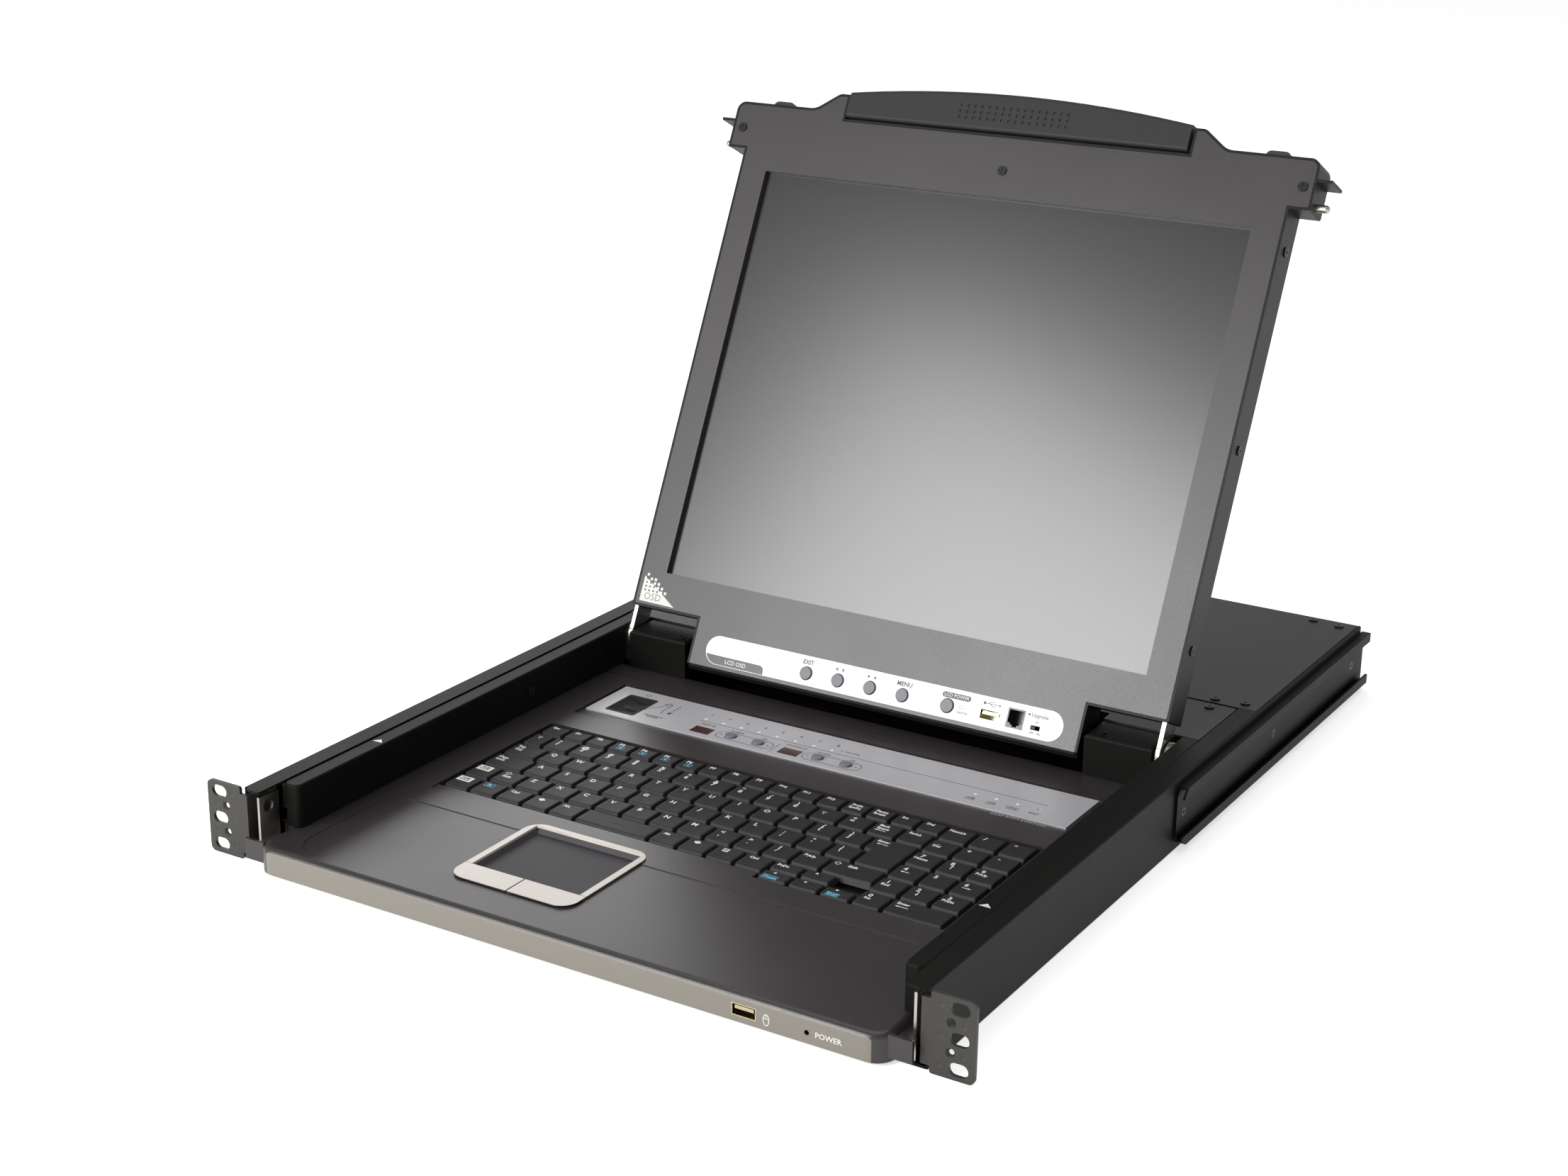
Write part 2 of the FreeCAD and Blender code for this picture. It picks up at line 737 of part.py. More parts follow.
def catch_plate():
    """Bare steel plate behind the right-hand ear, whose hole takes the display's catch pin."""
    low = BOARD_BOTTOM
    front = CATCH_PLATE_FRONT
    rear = front + CATCH_PLATE_LENGTH
    face = block((catch_plate_in, catch_plate_out), (front, rear), (low, CATCH_PLATE_TOP))
    back = block((catch_plate_in, ear_in), (rear - FRAME_SHEET, rear), (low, CATCH_PLATE_TOP))
    foot = block((ear_in - FRAME_SHEET, ear_in), (rear, LEG_LENGTH), (low, CATCH_PLATE_TOP))
    hole = rod((catch_plate_in - 1, catch_y, catch_z), X, CATCH_HOLE_R, FRAME_SHEET + 2)
    trimmed = foot.common(block((0, frame_half), (0, LEG_LENGTH), (-EAR_HEIGHT / 2 + EAR_STEP, frame_top)))
    return face.fuse([back, trimmed]).removeSplitter().cut(hole)


def slide_channel(height):
    """Right-hand steel channel, fixed to the rail, that carries one sliding runner."""
    half = SLIDE_HEIGHT / 2 + RUN_GAP
    outer = half + SLIDE_SHEET
    base = slide_out + RUN_GAP
    back = base + SLIDE_SHEET
    profile = [
        (flange_in, height + half),
        (base, height + half),
        (base, height - half),
        (flange_in, height - half),
        (flange_in, height - outer),
        (web_in, height - outer),
        (web_in, height - half),
        (back, height - half),
        (back, height + half),
        (web_in, height + half),
        (web_in, height + outer),
        (flange_in, height + outer),
    ]
    return section(profile, SLIDE_FRONT, SLIDE_REAR - SEAM)


def slide_runner(inside, height):
    """Right-hand steel bar that runs in a slide channel."""
    half = SLIDE_HEIGHT / 2
    return block((inside, slide_out), (SLIDE_FRONT, SLIDE_REAR), (height - half, height + half))


def rear_tray():
    """Floor of the rear box and its front bulkhead, with two slots for the modules' flat cables."""
    floor = block((-bottom_in, bottom_in), (bulkhead_front, panel_in), (-frame_top, tray_low))
    wall_rear = bulkhead_front + FRAME_SHEET
    bulkhead = block((-bottom_in, bottom_in), (bulkhead_front, wall_rear), (tray_low, shelf_low))
    flange = block(
        (-shelf_in, shelf_in), (bulkhead_front, bulkhead_front + TRAY_FLANGE), (shelf_low, cover_low)
    )
    tray = floor.fuse([bulkhead, flange]).removeSplitter()
    tools = []
    for sign in (-1, 1):
        x = (sign * CABLE_SLOT_X - CABLE_SLOT_WIDTH / 2, sign * CABLE_SLOT_X + CABLE_SLOT_WIDTH / 2)
        z = (CABLE_SLOT_Z - CABLE_SLOT_HEIGHT / 2, CABLE_SLOT_Z + CABLE_SLOT_HEIGHT / 2)
        tools.append(block(x, (bulkhead_front - 1, wall_rear + 1), z))
    for point in cover_points():
        tools += pair(screw_hole(point, Z * -1))
    return tray.cut(tools)


def rear_cover():
    """Lid of the rear box, with a lip folded down inside each rail."""
    rear = FRAME_LENGTH - COVER_GAP
    half = web_in - COVER_GAP
    lid = block((-half, half), (COVER_FRONT, rear), (cover_low, frame_top))
    return lid.cut(sum([pair(screw_hole(point, Z * -1)) for point in cover_points()], []))


def rear_panel():
    """Rear wall of the box, with cut-outs for the sockets and the power inlet."""
    wall = block((-web_in, web_in), (panel_in, FRAME_LENGTH), (tray_low, cover_low))
    bottom = block((-bottom_in, bottom_in), (panel_in, FRAME_LENGTH), (-frame_top, tray_low))
    flange = block((-shelf_in, shelf_in), (panel_in - TRAY_FLANGE, panel_in), (shelf_low, cover_low))
    panel = wall.fuse([bottom, flange]).removeSplitter()
    tools = [socket_shape(x, 0.2, panel_in - 1, FRAME_LENGTH + 1) for x in socket_places()]
    tools.append(power_block(0.1, panel_in - 1, FRAME_LENGTH + 1))
    for point in cover_points():
        tools += pair(screw_hole(point, Z * -1))
    return panel.cut(tools)


def socket_places():
    """Where the row of computer sockets stands on the rear panel."""
    return [socket_first + i * socket_step for i in range(SOCKET_COUNT)]


def socket_shape(x, grow, front, rear):
    """The D shape of one socket, grown by a clearance."""
    half = SOCKET_WIDTH / 2 + grow
    low = SOCKET_Z - SOCKET_HEIGHT / 2 - grow
    top = SOCKET_Z + SOCKET_HEIGHT / 2 + grow
    corners = [
        (x - half + SOCKET_SLANT, low, SOCKET_CORNER),
        (x + half - SOCKET_SLANT, low, SOCKET_CORNER),
        (x + half, top, SOCKET_CORNER),
        (x - half, top, SOCKET_CORNER),
    ]
    return upright(corners, front, rear)


def rear_socket(x):
    """One computer socket: a body on the circuit board and a D-shaped shell, sunk at its mouth."""
    half = SOCKET_WIDTH / 2 + SOCKET_FLANGE
    top = SOCKET_Z + SOCKET_HEIGHT / 2 + SOCKET_ROOF
    body = block((x - half, x + half), (panel_in - SOCKET_BODY, panel_in), (board_top, top))
    mouth = FRAME_LENGTH + SOCKET_REACH
    shell = socket_shape(x, 0, panel_in, mouth)
    sink = socket_shape(x, -SOCKET_RIM, mouth - SOCKET_SINK, mouth + 1)
    return body.fuse(shell).removeSplitter().cut(sink)


def power_block(grow, front, rear):
    """The rectangle that the power inlet and its switch fill in the rear panel."""
    half = (INLET_WIDTH + ROCKER_WIDTH) / 2 + INLET_FRAME * 1.5 + grow
    high = INLET_HEIGHT / 2 + INLET_FRAME + grow
    return pad((inlet_mid - half, inlet_mid + half), (-high, high), INLET_CORNER, -rear, -front).rotated(
        FreeCAD.Vector(0, 0, 0), X, 90
    )


def power_inlet():
    """Moulded power inlet with three pins, a window for the rocker switch and an outer flange."""
    body = power_block(0, panel_in - INLET_DEPTH, FRAME_LENGTH)
    flange = power_block(INLET_FRAME, FRAME_LENGTH, FRAME_LENGTH + INLET_FRAME)
    x = (inlet_x - INLET_WIDTH / 2, inlet_x + INLET_WIDTH / 2)
    z = (-INLET_HEIGHT / 2, INLET_HEIGHT / 2)
    mouth = FRAME_LENGTH + INLET_FRAME
    hollow = block(x, (mouth - INLET_HOLLOW, mouth + 1), z)
    window = rocker_window(RUN_GAP)
    result = body.fuse(flange).removeSplitter().cut([hollow, window])
    for dx, dz in INLET_PINS:
        pin = block(
            (inlet_x + dx - INLET_PIN_WIDTH / 2, inlet_x + dx + INLET_PIN_WIDTH / 2),
            (mouth - INLET_HOLLOW, mouth - INLET_HOLLOW + INLET_PIN_LENGTH),
            (dz - INLET_PIN_HEIGHT / 2, dz + INLET_PIN_HEIGHT / 2),
        )
        result = result.fuse(pin)
    return result.removeSplitter()


def rocker_window(grow):
    """The space of the rocker switch in the inlet's moulding."""
    half = ROCKER_WIDTH / 2 + grow
    high = ROCKER_HEIGHT / 2 + grow
    mouth = FRAME_LENGTH + INLET_FRAME
    depth = ROCKER_DEPTH + ROCKER_ROOM if grow else ROCKER_DEPTH
    return block((rocker_x - half, rocker_x + half), (mouth - depth, mouth + 1), (-high, high))


def power_switch():
    """Rocker that turns about an upright pin, with its two faces meeting at a shallow angle."""
    mouth = FRAME_LENGTH + INLET_FRAME
    half = ROCKER_WIDTH / 2 - ROCKER_EASE
    drop = math.tan(math.radians(ROCKER_SWING / 2)) * half
    axis_y = mouth - ROCKER_DEPTH / 2
    corners = [
        (rocker_x - half, axis_y - ROCKER_BACK, 0),
        (rocker_x + half, axis_y - ROCKER_BACK, 0),
        (rocker_x + half, mouth - ROCKER_SUNK + drop, ROCKER_ROUND),
        (rocker_x, mouth - ROCKER_SUNK - drop / 2, 0),
        (rocker_x - half, mouth - ROCKER_SUNK - drop, ROCKER_ROUND),
    ]
    return plate(corners, -ROCKER_HEIGHT / 2, ROCKER_HEIGHT / 2)


def power_supply():
    """Sealed mains power supply on the floor of the rear box."""
    x = (supply_x - SUPPLY_WIDTH / 2, supply_x + SUPPLY_WIDTH / 2)
    y = (bulkhead_front + SUPPLY_ROOM, supply_rear)
    return block(x, y, (tray_low, tray_low + SUPPLY_HEIGHT))


def switch_board():
    """Circuit board that switches the computers, with its four stand-offs and main chips."""
    x = (logic_left, logic_right)
    y = (bulkhead_front + LOGIC_ROOM, board_rear)
    board = block(x, y, (board_top - BOARD_SHEET, board_top))
    posts = []
    for px in (x[0] + LOGIC_STAND_IN, x[1] - LOGIC_STAND_IN):
        for py in (y[0] + LOGIC_STAND_IN, y[1] - LOGIC_STAND_IN):
            posts.append(rod((px, py, tray_low), Z, LOGIC_STAND_R, LOGIC_STAND))
    half = CHIP_WIDTH / 2
    for i in range(CHIP_COUNT):
        cx = x[0] + (i + 1) * (x[1] - x[0]) / (CHIP_COUNT + 1)
        cy = y[0] + (y[1] - y[0]) * CHIP_PLACE
        chip = block((cx - half, cx + half), (cy - half, cy + half), (board_top, board_top + CHIP_RISE))
        posts.append(chip)
    return board.fuse(posts).removeSplitter()


# ---- display carriage -----------------------------------------------------------------------
def tie_points():
    """The right-hand screw of the tie plate."""
    return (tie_screw_x, tie_rear - TIE_SCREW_INSET, tie_top)


def wall_points():
    """The screws on the inner face of the right-hand carriage wall, by the hinge."""
    return [(wall_in, y, WALL_SCREW_Z) for y in WALL_SCREW_Y]


def hinge_cover_point():
    """The screw on top of the right-hand hinge cover."""
    return (hinge_cover_in + HINGE_SCREW_IN, HINGE_COVER_FRONT + HINGE_SCREW_IN, HINGE_COVER_TOP)


def carriage_wall():
    """Right-hand wall of the display carriage, an upturned channel with a closed front end."""
    front_corner = WALL_WIDTH * 0.35
    outer = plate(
        [
            (wall_in, WALL_FRONT, front_corner),
            (wall_out, WALL_FRONT, front_corner),
            (wall_out, SLIDE_REAR, 0),
            (wall_in, SLIDE_REAR, 0),
        ],
        wall_low,
        WALL_TOP,
    )
    outer = outer.makeFillet(WALL_SHEET, [edge for edge in outer.Edges if is_wall_brow(edge)])
    x = (wall_in + WALL_SHEET, wall_out - WALL_SHEET)
    y = (WALL_FRONT + front_corner, SLIDE_REAR + 1)
    inner = block(x, y, (wall_low - 1, tie_low - WALL_SHEET))
    step = block((wall_in - 1, wall_out + 1), (TIE_FRONT - SEAM, SLIDE_REAR + 1), (tie_low, WALL_TOP + 1))
    tools = [screw_hole(point, X) for point in wall_points()]
    tools.append(screw_hole(tie_points(), Z * -1))
    return outer.cut([inner, step] + tools)


def is_wall_brow(edge):
    """True for the top edges of a carriage wall."""
    box = edge.BoundBox
    return box.ZMin > WALL_TOP - 0.01 and box.YMin < SLIDE_REAR - 1


def tie_plate():
    """Plate that ties both carriage walls behind the display, cut out round its lower edge."""
    half = wall_out - WALL_FLOAT
    cut_rear = TIE_FRONT + TIE_CUT_DEPTH
    corners = [
        (hinge_cover_in, cut_rear, 2),
        (hinge_cover_in, TIE_FRONT, 1),
        (half, TIE_FRONT, 1),
        (half, tie_rear, 2),
    ]
    left = [(-x, y, radius) for x, y, radius in reversed(corners)]
    sheet = plate(corners + left, tie_low, tie_top)
    tabs = [screw_hole(tie_points(), Z * -1)]
    return sheet.cut(sum([pair(tab) for tab in tabs], []))


def hinge_cover():
    """Right-hand box over the hinge, with a tab screwed under the tie plate."""
    outside = hinge_cover_in + HINGE_COVER_WIDTH
    x = (hinge_cover_in, outside)
    box = block(x, (HINGE_COVER_FRONT, HINGE_COVER_REAR), (wall_low, HINGE_COVER_TOP))
    brow = [edge for edge in box.Edges if is_cover_brow(edge)]
    box = box.makeFillet(HINGE_SHEET, brow)
    hollow = block(
        (hinge_cover_in + HINGE_SHEET, outside - HINGE_SHEET),
        (HINGE_COVER_FRONT + HINGE_SHEET, HINGE_COVER_REAR - HINGE_SHEET),
        (wall_low - 1, HINGE_COVER_TOP - HINGE_SHEET),
    )
    tab = block(
        (hinge_cover_in + HINGE_SHEET, outside - HINGE_SHEET),
        (HINGE_COVER_REAR - HINGE_SHEET, HINGE_COVER_REAR + HINGE_TAB),
        (tie_low - HINGE_SHEET, tie_low),
    )
    bore = rod((outside - HINGE_SHEET - 1, HINGE_Y, HINGE_Z), X, HINGE_PIN_R + HINGE_FIT, HINGE_SHEET + 2)
    tools = [hollow, bore, screw_hole(hinge_cover_point(), Z * -1)]
    return box.fuse(tab).removeSplitter().cut(tools)


def is_cover_brow(edge):
    """True for the top front edge and the top side edges of a hinge cover."""
    box = edge.BoundBox
    return box.ZMin > HINGE_COVER_TOP - 0.01 and box.YMin < HINGE_COVER_REAR - 0.01


def hinge_bracket():
    """Right-hand steel bracket on the carriage wall, bored for the hinge pin."""
    x = wall_in - BRACKET_SHEET
    eye = rod((x, HINGE_Y, HINGE_Z), X, BRACKET_R, BRACKET_SHEET)
    foot = block(
        (x, wall_in), (HINGE_Y - BRACKET_R, HINGE_Y + BRACKET_R), (wall_low + WALL_SHEET, HINGE_Z)
    )
    bore = rod((x - 1, HINGE_Y, HINGE_Z), X, HINGE_PIN_R + HINGE_FIT, BRACKET_SHEET + 2)
    return eye.fuse(foot).removeSplitter().cut(bore)


# ---- display, built in its own plane ----------------------------------------------------------
def display_outline(inset):
    """The display's outline: foot, chin, catch housings, shoulders and the seat of the handle."""
    slope = inset * 0.3
    right = [
        (foot_half - inset, inset - FOOT_BELOW, 1.5),
        (foot_half - inset, inset - CHIN, 0),
        (display_half - inset, inset - CHIN, 1),
        (display_half - inset, CATCH_BOTTOM + inset, 0),
        (catch_half - inset, CATCH_BOTTOM + inset, 1),
        (catch_half - inset, HEAD_TOP - inset, CATCH_CORNER - inset),
        (shoulder_out - slope, HEAD_TOP - inset, 12),
        (shoulder_in - slope, SHOULDER_TOP - inset, 6),
        (handle_half + HANDLE_GAP + inset, SHOULDER_TOP - inset, 0),
        (handle_half + HANDLE_GAP + inset, handle_seat - inset, 0),
    ]
    return right + [(-x, y, radius) for x, y, radius in reversed(right)]


def foot_wedge(line, sign):
    """Everything below a 45 degree plane across the display's lower edge, front or back."""
    reach = DISPLAY_DEPTH + FOOT_BELOW
    points = [(line, 0), (line - reach, sign * reach), (line - reach, 0)]
    corners = [FreeCAD.Vector(-foot_half - 1, y, z) for y, z in points]
    return Part.Face(Part.makePolygon(corners + corners[:1])).extrude(X * (2 * foot_half + 2))


def back_wedge(inset):
    """The slope at the back of the display's lower edge."""
    line = -FOOT_BELOW + FOOT_SLOPE + inset * math.sqrt(2)
    wedge = foot_wedge(line, 1)
    wedge.translate(Z * -DISPLAY_DEPTH)
    return wedge


def front_wedge():
    """The bevel at the front of the display's lower edge."""
    return foot_wedge(FOOT_BEVEL - FOOT_BELOW, -1)


def display_shell():
    """The display's rear housing, an open tray that carries everything else."""
    outer = plate(display_outline(0), -DISPLAY_DEPTH, 0).cut(back_wedge(0))
    inner = plate(display_outline(SHELL_SHEET), SHELL_SHEET - DISPLAY_DEPTH, 1)
    shell = outer.cut([inner.cut(back_wedge(SHELL_SHEET)), front_wedge()])
    fins = []
    for sign in (-1, 1):
        x = (sign * (catch_half - 0.1), sign * (catch_half + FIN_REACH))
        z = (-DISPLAY_DEPTH + FIN_SHEET, 0)
        fins.append(block(x, (FIN_Y - FIN_SHEET / 2, FIN_Y + FIN_SHEET / 2), z))
    tools = [pin_bore(sign) for sign in (-1, 1)]
    tools += [thumb_slot(sign) for sign in (-1, 1)]
    tools += [arm_plate(sign, 0.02, 1) for sign in (-1, 1)]
    tools += [screw_hole(point, inward) for point, inward in side_display_screws()]
    return shell.fuse(fins).removeSplitter().cut(tools)


def pin_bore(sign):
    """Bore in the housing's side for a catch pin."""
    x = sign * (catch_half - SHELL_SHEET - 1)
    return rod((x, PIN_Y, -PIN_DEPTH), X * sign, PIN_R + HINGE_FIT, SHELL_SHEET + 2)


def thumb_slot(sign):
    """Slot in the housing's top for a catch's thumb tab and its travel."""
    x = (sign * (thumb_out + RUN_GAP), sign * (thumb_out - THUMB_WIDTH - PIN_TRAVEL - RUN_GAP))
    z = (-PIN_DEPTH - THUMB_SHEET / 2 - RUN_GAP, -PIN_DEPTH + THUMB_SHEET / 2 + RUN_GAP)
    return block(x, (HEAD_TOP - SHELL_SHEET - 1, HEAD_TOP + 1), z)


def catch(sign):
    """One spring catch: a thumb tab on top, a slider behind the bezel and a round-nosed pin."""
    z = (-PIN_DEPTH - THUMB_SHEET / 2, -PIN_DEPTH + THUMB_SHEET / 2)
    outer = sign * thumb_out
    inner = sign * (thumb_out - THUMB_WIDTH)
    top = HEAD_TOP + THUMB_RISE
    bar_top = HEAD_TOP - SHELL_SHEET - RUN_GAP
    tab = block((inner, outer), (bar_top - 1, top), z)
    tips = [edge for edge in tab.Edges if edge.BoundBox.YMin > top - 0.01 and edge.BoundBox.ZLength > 1]
    tab = tab.makeFillet(THUMB_RISE * 0.8, tips)
    bar = block((inner, outer), (PIN_Y - PIN_R, bar_top), z)
    length = catch_half + PIN_REACH - thumb_out + PIN_R * 2
    start = sign * (thumb_out - PIN_R * 2)
    shank = rod((start, PIN_Y, -PIN_DEPTH), X * sign, PIN_R, length - PIN_R)
    nose = Part.makeSphere(PIN_R, FreeCAD.Vector(start + sign * (length - PIN_R), PIN_Y, -PIN_DEPTH))
    return tab.fuse([bar, shank, nose]).removeSplitter()


def arm_plate(sign, grow, stretch):
    """The space of one hinge arm, from the pivot up into the shell."""
    x = (sign * (arm_in - grow), sign * (arm_out + grow))
    y = (-PIVOT_BELOW, ARM_RISE - PIVOT_BELOW + stretch)
    z = (SHELL_SHEET - DISPLAY_DEPTH + ARM_EASE, -BEZEL_SHEET)
    start = FreeCAD.Vector(min(x), -PIVOT_BELOW, -PIVOT_BEHIND)
    eye = Part.makeCylinder(ARM_R, abs(x[1] - x[0]), start, X)
    return block(x, y, z).fuse(eye)


def hinge_arm(sign):
    """One steel arm on the display with the hinge pin through its eye."""
    start = sign * (arm_in - HINGE_PIN_IN)
    length = HINGE_PIN_IN + ARM_SHEET + HINGE_PIN_OUT
    pin = rod((start, -PIVOT_BELOW, -PIVOT_BEHIND), X * sign, HINGE_PIN_R, length)
    return arm_plate(sign, 0, 0).fuse(pin).removeSplitter()


def bezel_points():
    """The screws on the front of the bezel."""
    side = catch_half - BEZEL_SCREW_IN
    return [(0, BEZEL_SCREW_Y, 0), (side, CATCH_SCREW_Y, 0), (-side, CATCH_SCREW_Y, 0)]


def side_display_screws():
    """The screws on the sides of the display."""
    places = [(display_half, y, -DISPLAY_DEPTH / 2) for y in SIDE_SCREW_Y]
    right = [(point, X * -1) for point in places]
    return right + [((-x, y, z), X) for (x, y, z), inward in right]


def strip_tools(grow, low, high):
    """The openings of the control strip, through the strip and the bezel behind it."""
    tools = [rod((x, KNOB_Y, low), Z, KNOB_R + grow, high - low) for x in knob_places()]
    tools.append(rod((power_x, KNOB_Y, low), Z, POWER_R + grow, high - low))
    slot = (switch_x - SWITCH_SLOT / 2, switch_x + SWITCH_SLOT / 2)
    tools.append(block(slot, (SWITCH_Y - SWITCH_HEIGHT / 2, SWITCH_Y + SWITCH_HEIGHT / 2), (low, high)))
    tools.append(centred(usb_x, KNOB_Y, USB_WIDTH, USB_HEIGHT, low, high))
    tools.append(centred(jack_x, JACK_Y, JACK_WIDTH, JACK_HEIGHT, low, high))
    return tools


def centred(x, y, width, height, low, high):
    """A box centred on a point of a plane."""
    return block((x - width / 2, x + width / 2), (y - height / 2, y + height / 2), (low, high))


def knob_places():
    """Where the four picture buttons stand."""
    return [knob_first + i * KNOB_STEP for i in range(KNOB_COUNT)]


def bezel_plate():
    """The display's front plate, with a deep rim round the screen and a bed for the strip."""
    fit = SHELL_SHEET + BEZEL_FIT
    front = plate(display_outline(fit), -BEZEL_SHEET, 0)
    half = screen_width / 2
    rim_width = screen_width + 2 * SHELL_SHEET
    rim = centred(0, SCREEN_HEIGHT / 2, rim_width, rim_height, -SCREEN_RECESS, -BEZEL_SHEET)
    window = block((-half, half), (0, SCREEN_HEIGHT), (-SCREEN_RECESS - 1, 1))
    bed = strip_shape(0.1, -STRIP_SINK, 1)
    tools = strip_tools(RUN_GAP, -SCREEN_RECESS, 1) + [window, bed, front_wedge()]
    tools += [screw_hole(point, Z * -1) for point in bezel_points()]
    return front.fuse(rim).removeSplitter().cut(tools)


def strip_shape(grow, low, high):
    """The control strip's long oval."""
    half = strip_half + grow
    high_half = STRIP_HEIGHT / 2 + grow
    return pad((-half, half), (STRIP_Y - high_half, STRIP_Y + high_half), high_half - 0.001, low, high)


def osd_strip():
    """The control strip under the screen."""
    return strip_shape(0, -STRIP_SINK, STRIP_PROUD).cut(strip_tools(RUN_GAP, -SCREEN_RECESS, 1))


def usb_socket():
    """A USB socket that faces along Z, with its metal shell and its tongue."""
    shell = centred(0, 0, USB_WIDTH, USB_HEIGHT, -USB_DEPTH, 0)
    hollow = centred(0, 0, USB_WIDTH - 2 * USB_WALL, USB_HEIGHT - 2 * USB_WALL, 1 - USB_DEPTH, 1)
    tongue = centred(0, USB_HEIGHT * 0.16, USB_WIDTH * 0.76, USB_TONGUE, 0.5 - USB_DEPTH, -USB_WALL)
    return shell.cut(hollow).fuse(tongue).removeSplitter()


def jack_socket():
    """A modular socket: a square body whose mouth steps down twice for the plug's latch."""
    body = centred(0, 0, JACK_WIDTH, JACK_HEIGHT, -JACK_DEPTH, 0)
    steps = [(MOUTH_WIDTH, MOUTH_HEIGHT), (LATCH_WIDTH, LATCH_DROP), (LATCH_WIDTH / 2, LATCH_DROP)]
    top = JACK_HEIGHT / 2 - JACK_ROOF
    tools = []
    for width, drop in steps:
        tools.append(block((-width / 2, width / 2), (top - drop, top), (JACK_WALL - JACK_DEPTH, 1)))
        top -= drop
    return body.cut(tools)


def screen_panel():
    """The flat display panel, seated on the back of the bezel's rim."""
    margin = 2 * PANEL_MARGIN
    width = screen_width + margin
    height = SCREEN_HEIGHT + margin
    low = -SCREEN_RECESS - PANEL_DEPTH
    return centred(0, SCREEN_HEIGHT / 2, width, height, low, -SCREEN_RECESS)


def handle_grip():
    """Arched soft grip on top of the display, with a rolled lower edge and rows of dimples."""
    half = handle_half
    ends = HANDLE_END_TOP
    middle = HANDLE_END_TOP + HANDLE_RISE
    arch = Part.Arc(
        FreeCAD.Vector(half, ends, 0), FreeCAD.Vector(0, middle, 0), FreeCAD.Vector(-half, ends, 0)
    ).toShape()
    corners = [(-half, ends), (-half, HANDLE_BOTTOM), (half, HANDLE_BOTTOM), (half, ends)]
    points = [FreeCAD.Vector(x, y, 0) for x, y in corners]
    lines = [Part.LineSegment(a, b).toShape() for a, b in zip(points, points[1:])]
    face = Part.Face(Part.Wire([arch] + lines))
    face.translate(Z * -DISPLAY_DEPTH)
    grip = face.extrude(Z * (DISPLAY_DEPTH + HANDLE_PROUD))
    grip = grip.makeFillet(HANDLE_PROUD, [edge for edge in grip.Edges if is_handle_rim(edge)])
    x = (-half + HANDLE_GAP, half - HANDLE_GAP)
    neck = block(x, (handle_seat, HANDLE_BOTTOM), (SHELL_SHEET - DISPLAY_DEPTH, -SCREEN_RECESS))
    dimples = []
    for column in range(DIMPLE_COLUMNS):
        u = (column - (DIMPLE_COLUMNS - 1) / 2) * DIMPLE_STEP_X
        for row in range(DIMPLE_ROWS):
            v = DIMPLE_TOP - row * DIMPLE_STEP_Y
            dimples.append(rod((u, v, HANDLE_PROUD - DIMPLE_DEPTH), Z, DIMPLE_R, 1))
    return grip.fuse(neck).removeSplitter().cut(dimples)


def is_handle_rim(edge):
    """True for the long front edges of the handle."""
    box = edge.BoundBox
    return box.ZMin > HANDLE_PROUD - 0.01 and box.XLength > handle_half


def osd_button(x, radius):
    """A round button with a hidden flange behind the bezel."""
    cap = rod((x, KNOB_Y, button_low), Z, radius, KNOB_PROUD + STRIP_PROUD - button_low)
    brow = [edge for edge in cap.Edges if edge.BoundBox.ZMin > KNOB_PROUD + STRIP_PROUD - 0.01]
    cap = cap.makeFillet(KNOB_PROUD * 0.3, brow)
    flange = rod((x, KNOB_Y, button_low), Z, radius + KNOB_FLANGE, KNOB_FLANGE)
    return cap.fuse(flange).removeSplitter()


def osd_slide_switch():
    """Small lever that slides in its slot beside the sockets."""
    width = SWITCH_SLOT - SWITCH_TRAVEL - 2 * RUN_GAP
    x = switch_x - SWITCH_SLOT / 2 + RUN_GAP
    half = SWITCH_HEIGHT / 2 - RUN_GAP
    return block((x, x + width), (SWITCH_Y - half, SWITCH_Y + half), (button_low, SWITCH_PROUD))


# ---- keyboard module ------------------------------------------------------------------------
def deck_outline(inset):
    """The keyboard module's plan, with round front corners."""
    half = board_half - inset
    front = BOARD_FRONT + inset
    corner = DECK_CORNER - inset
    return [(-half, front, corner), (half, front, corner), (half, DECK_REAR, 0), (-half, DECK_REAR, 0)]


def deck_shell():
    """The deck's hollow moulding, open below and at the rear."""
    outer = plate(deck_outline(0), BOARD_BOTTOM, DECK_TOP)
    outer = outer.makeFillet(DECK_LIP_R, [edge for edge in outer.Edges if is_deck_brow(edge)])
    inner = plate(deck_outline(DECK_SHEET), BOARD_BOTTOM - 1, deck_under)
    half = board_half - DECK_SHEET
    rear_cut = block((-half, half), (DECK_REAR - 1, DECK_REAR + 1), (BOARD_BOTTOM, deck_under))
    return outer.cut([inner, rear_cut])


def key_well(grow, low, high):
    """The footprint of the well that the keys stand in."""
    x = (-well_x - grow, well_x + grow)
    return pad(x, (well_front - grow, well_rear + grow), WELL_CORNER, low, high)


def deck_tabs():
    """The tabs that stand out from the deck's sides near its front."""
    tabs = []
    for sign in (-1, 1):
        x = (sign * (board_half - DECK_SHEET), sign * (board_half + TAB_REACH))
        z = (DECK_TOP - TAB_HEIGHT, DECK_TOP - SEAM)
        tabs.append(block(x, (TAB_FRONT, TAB_FRONT + DECK_SHEET), z))
    return tabs


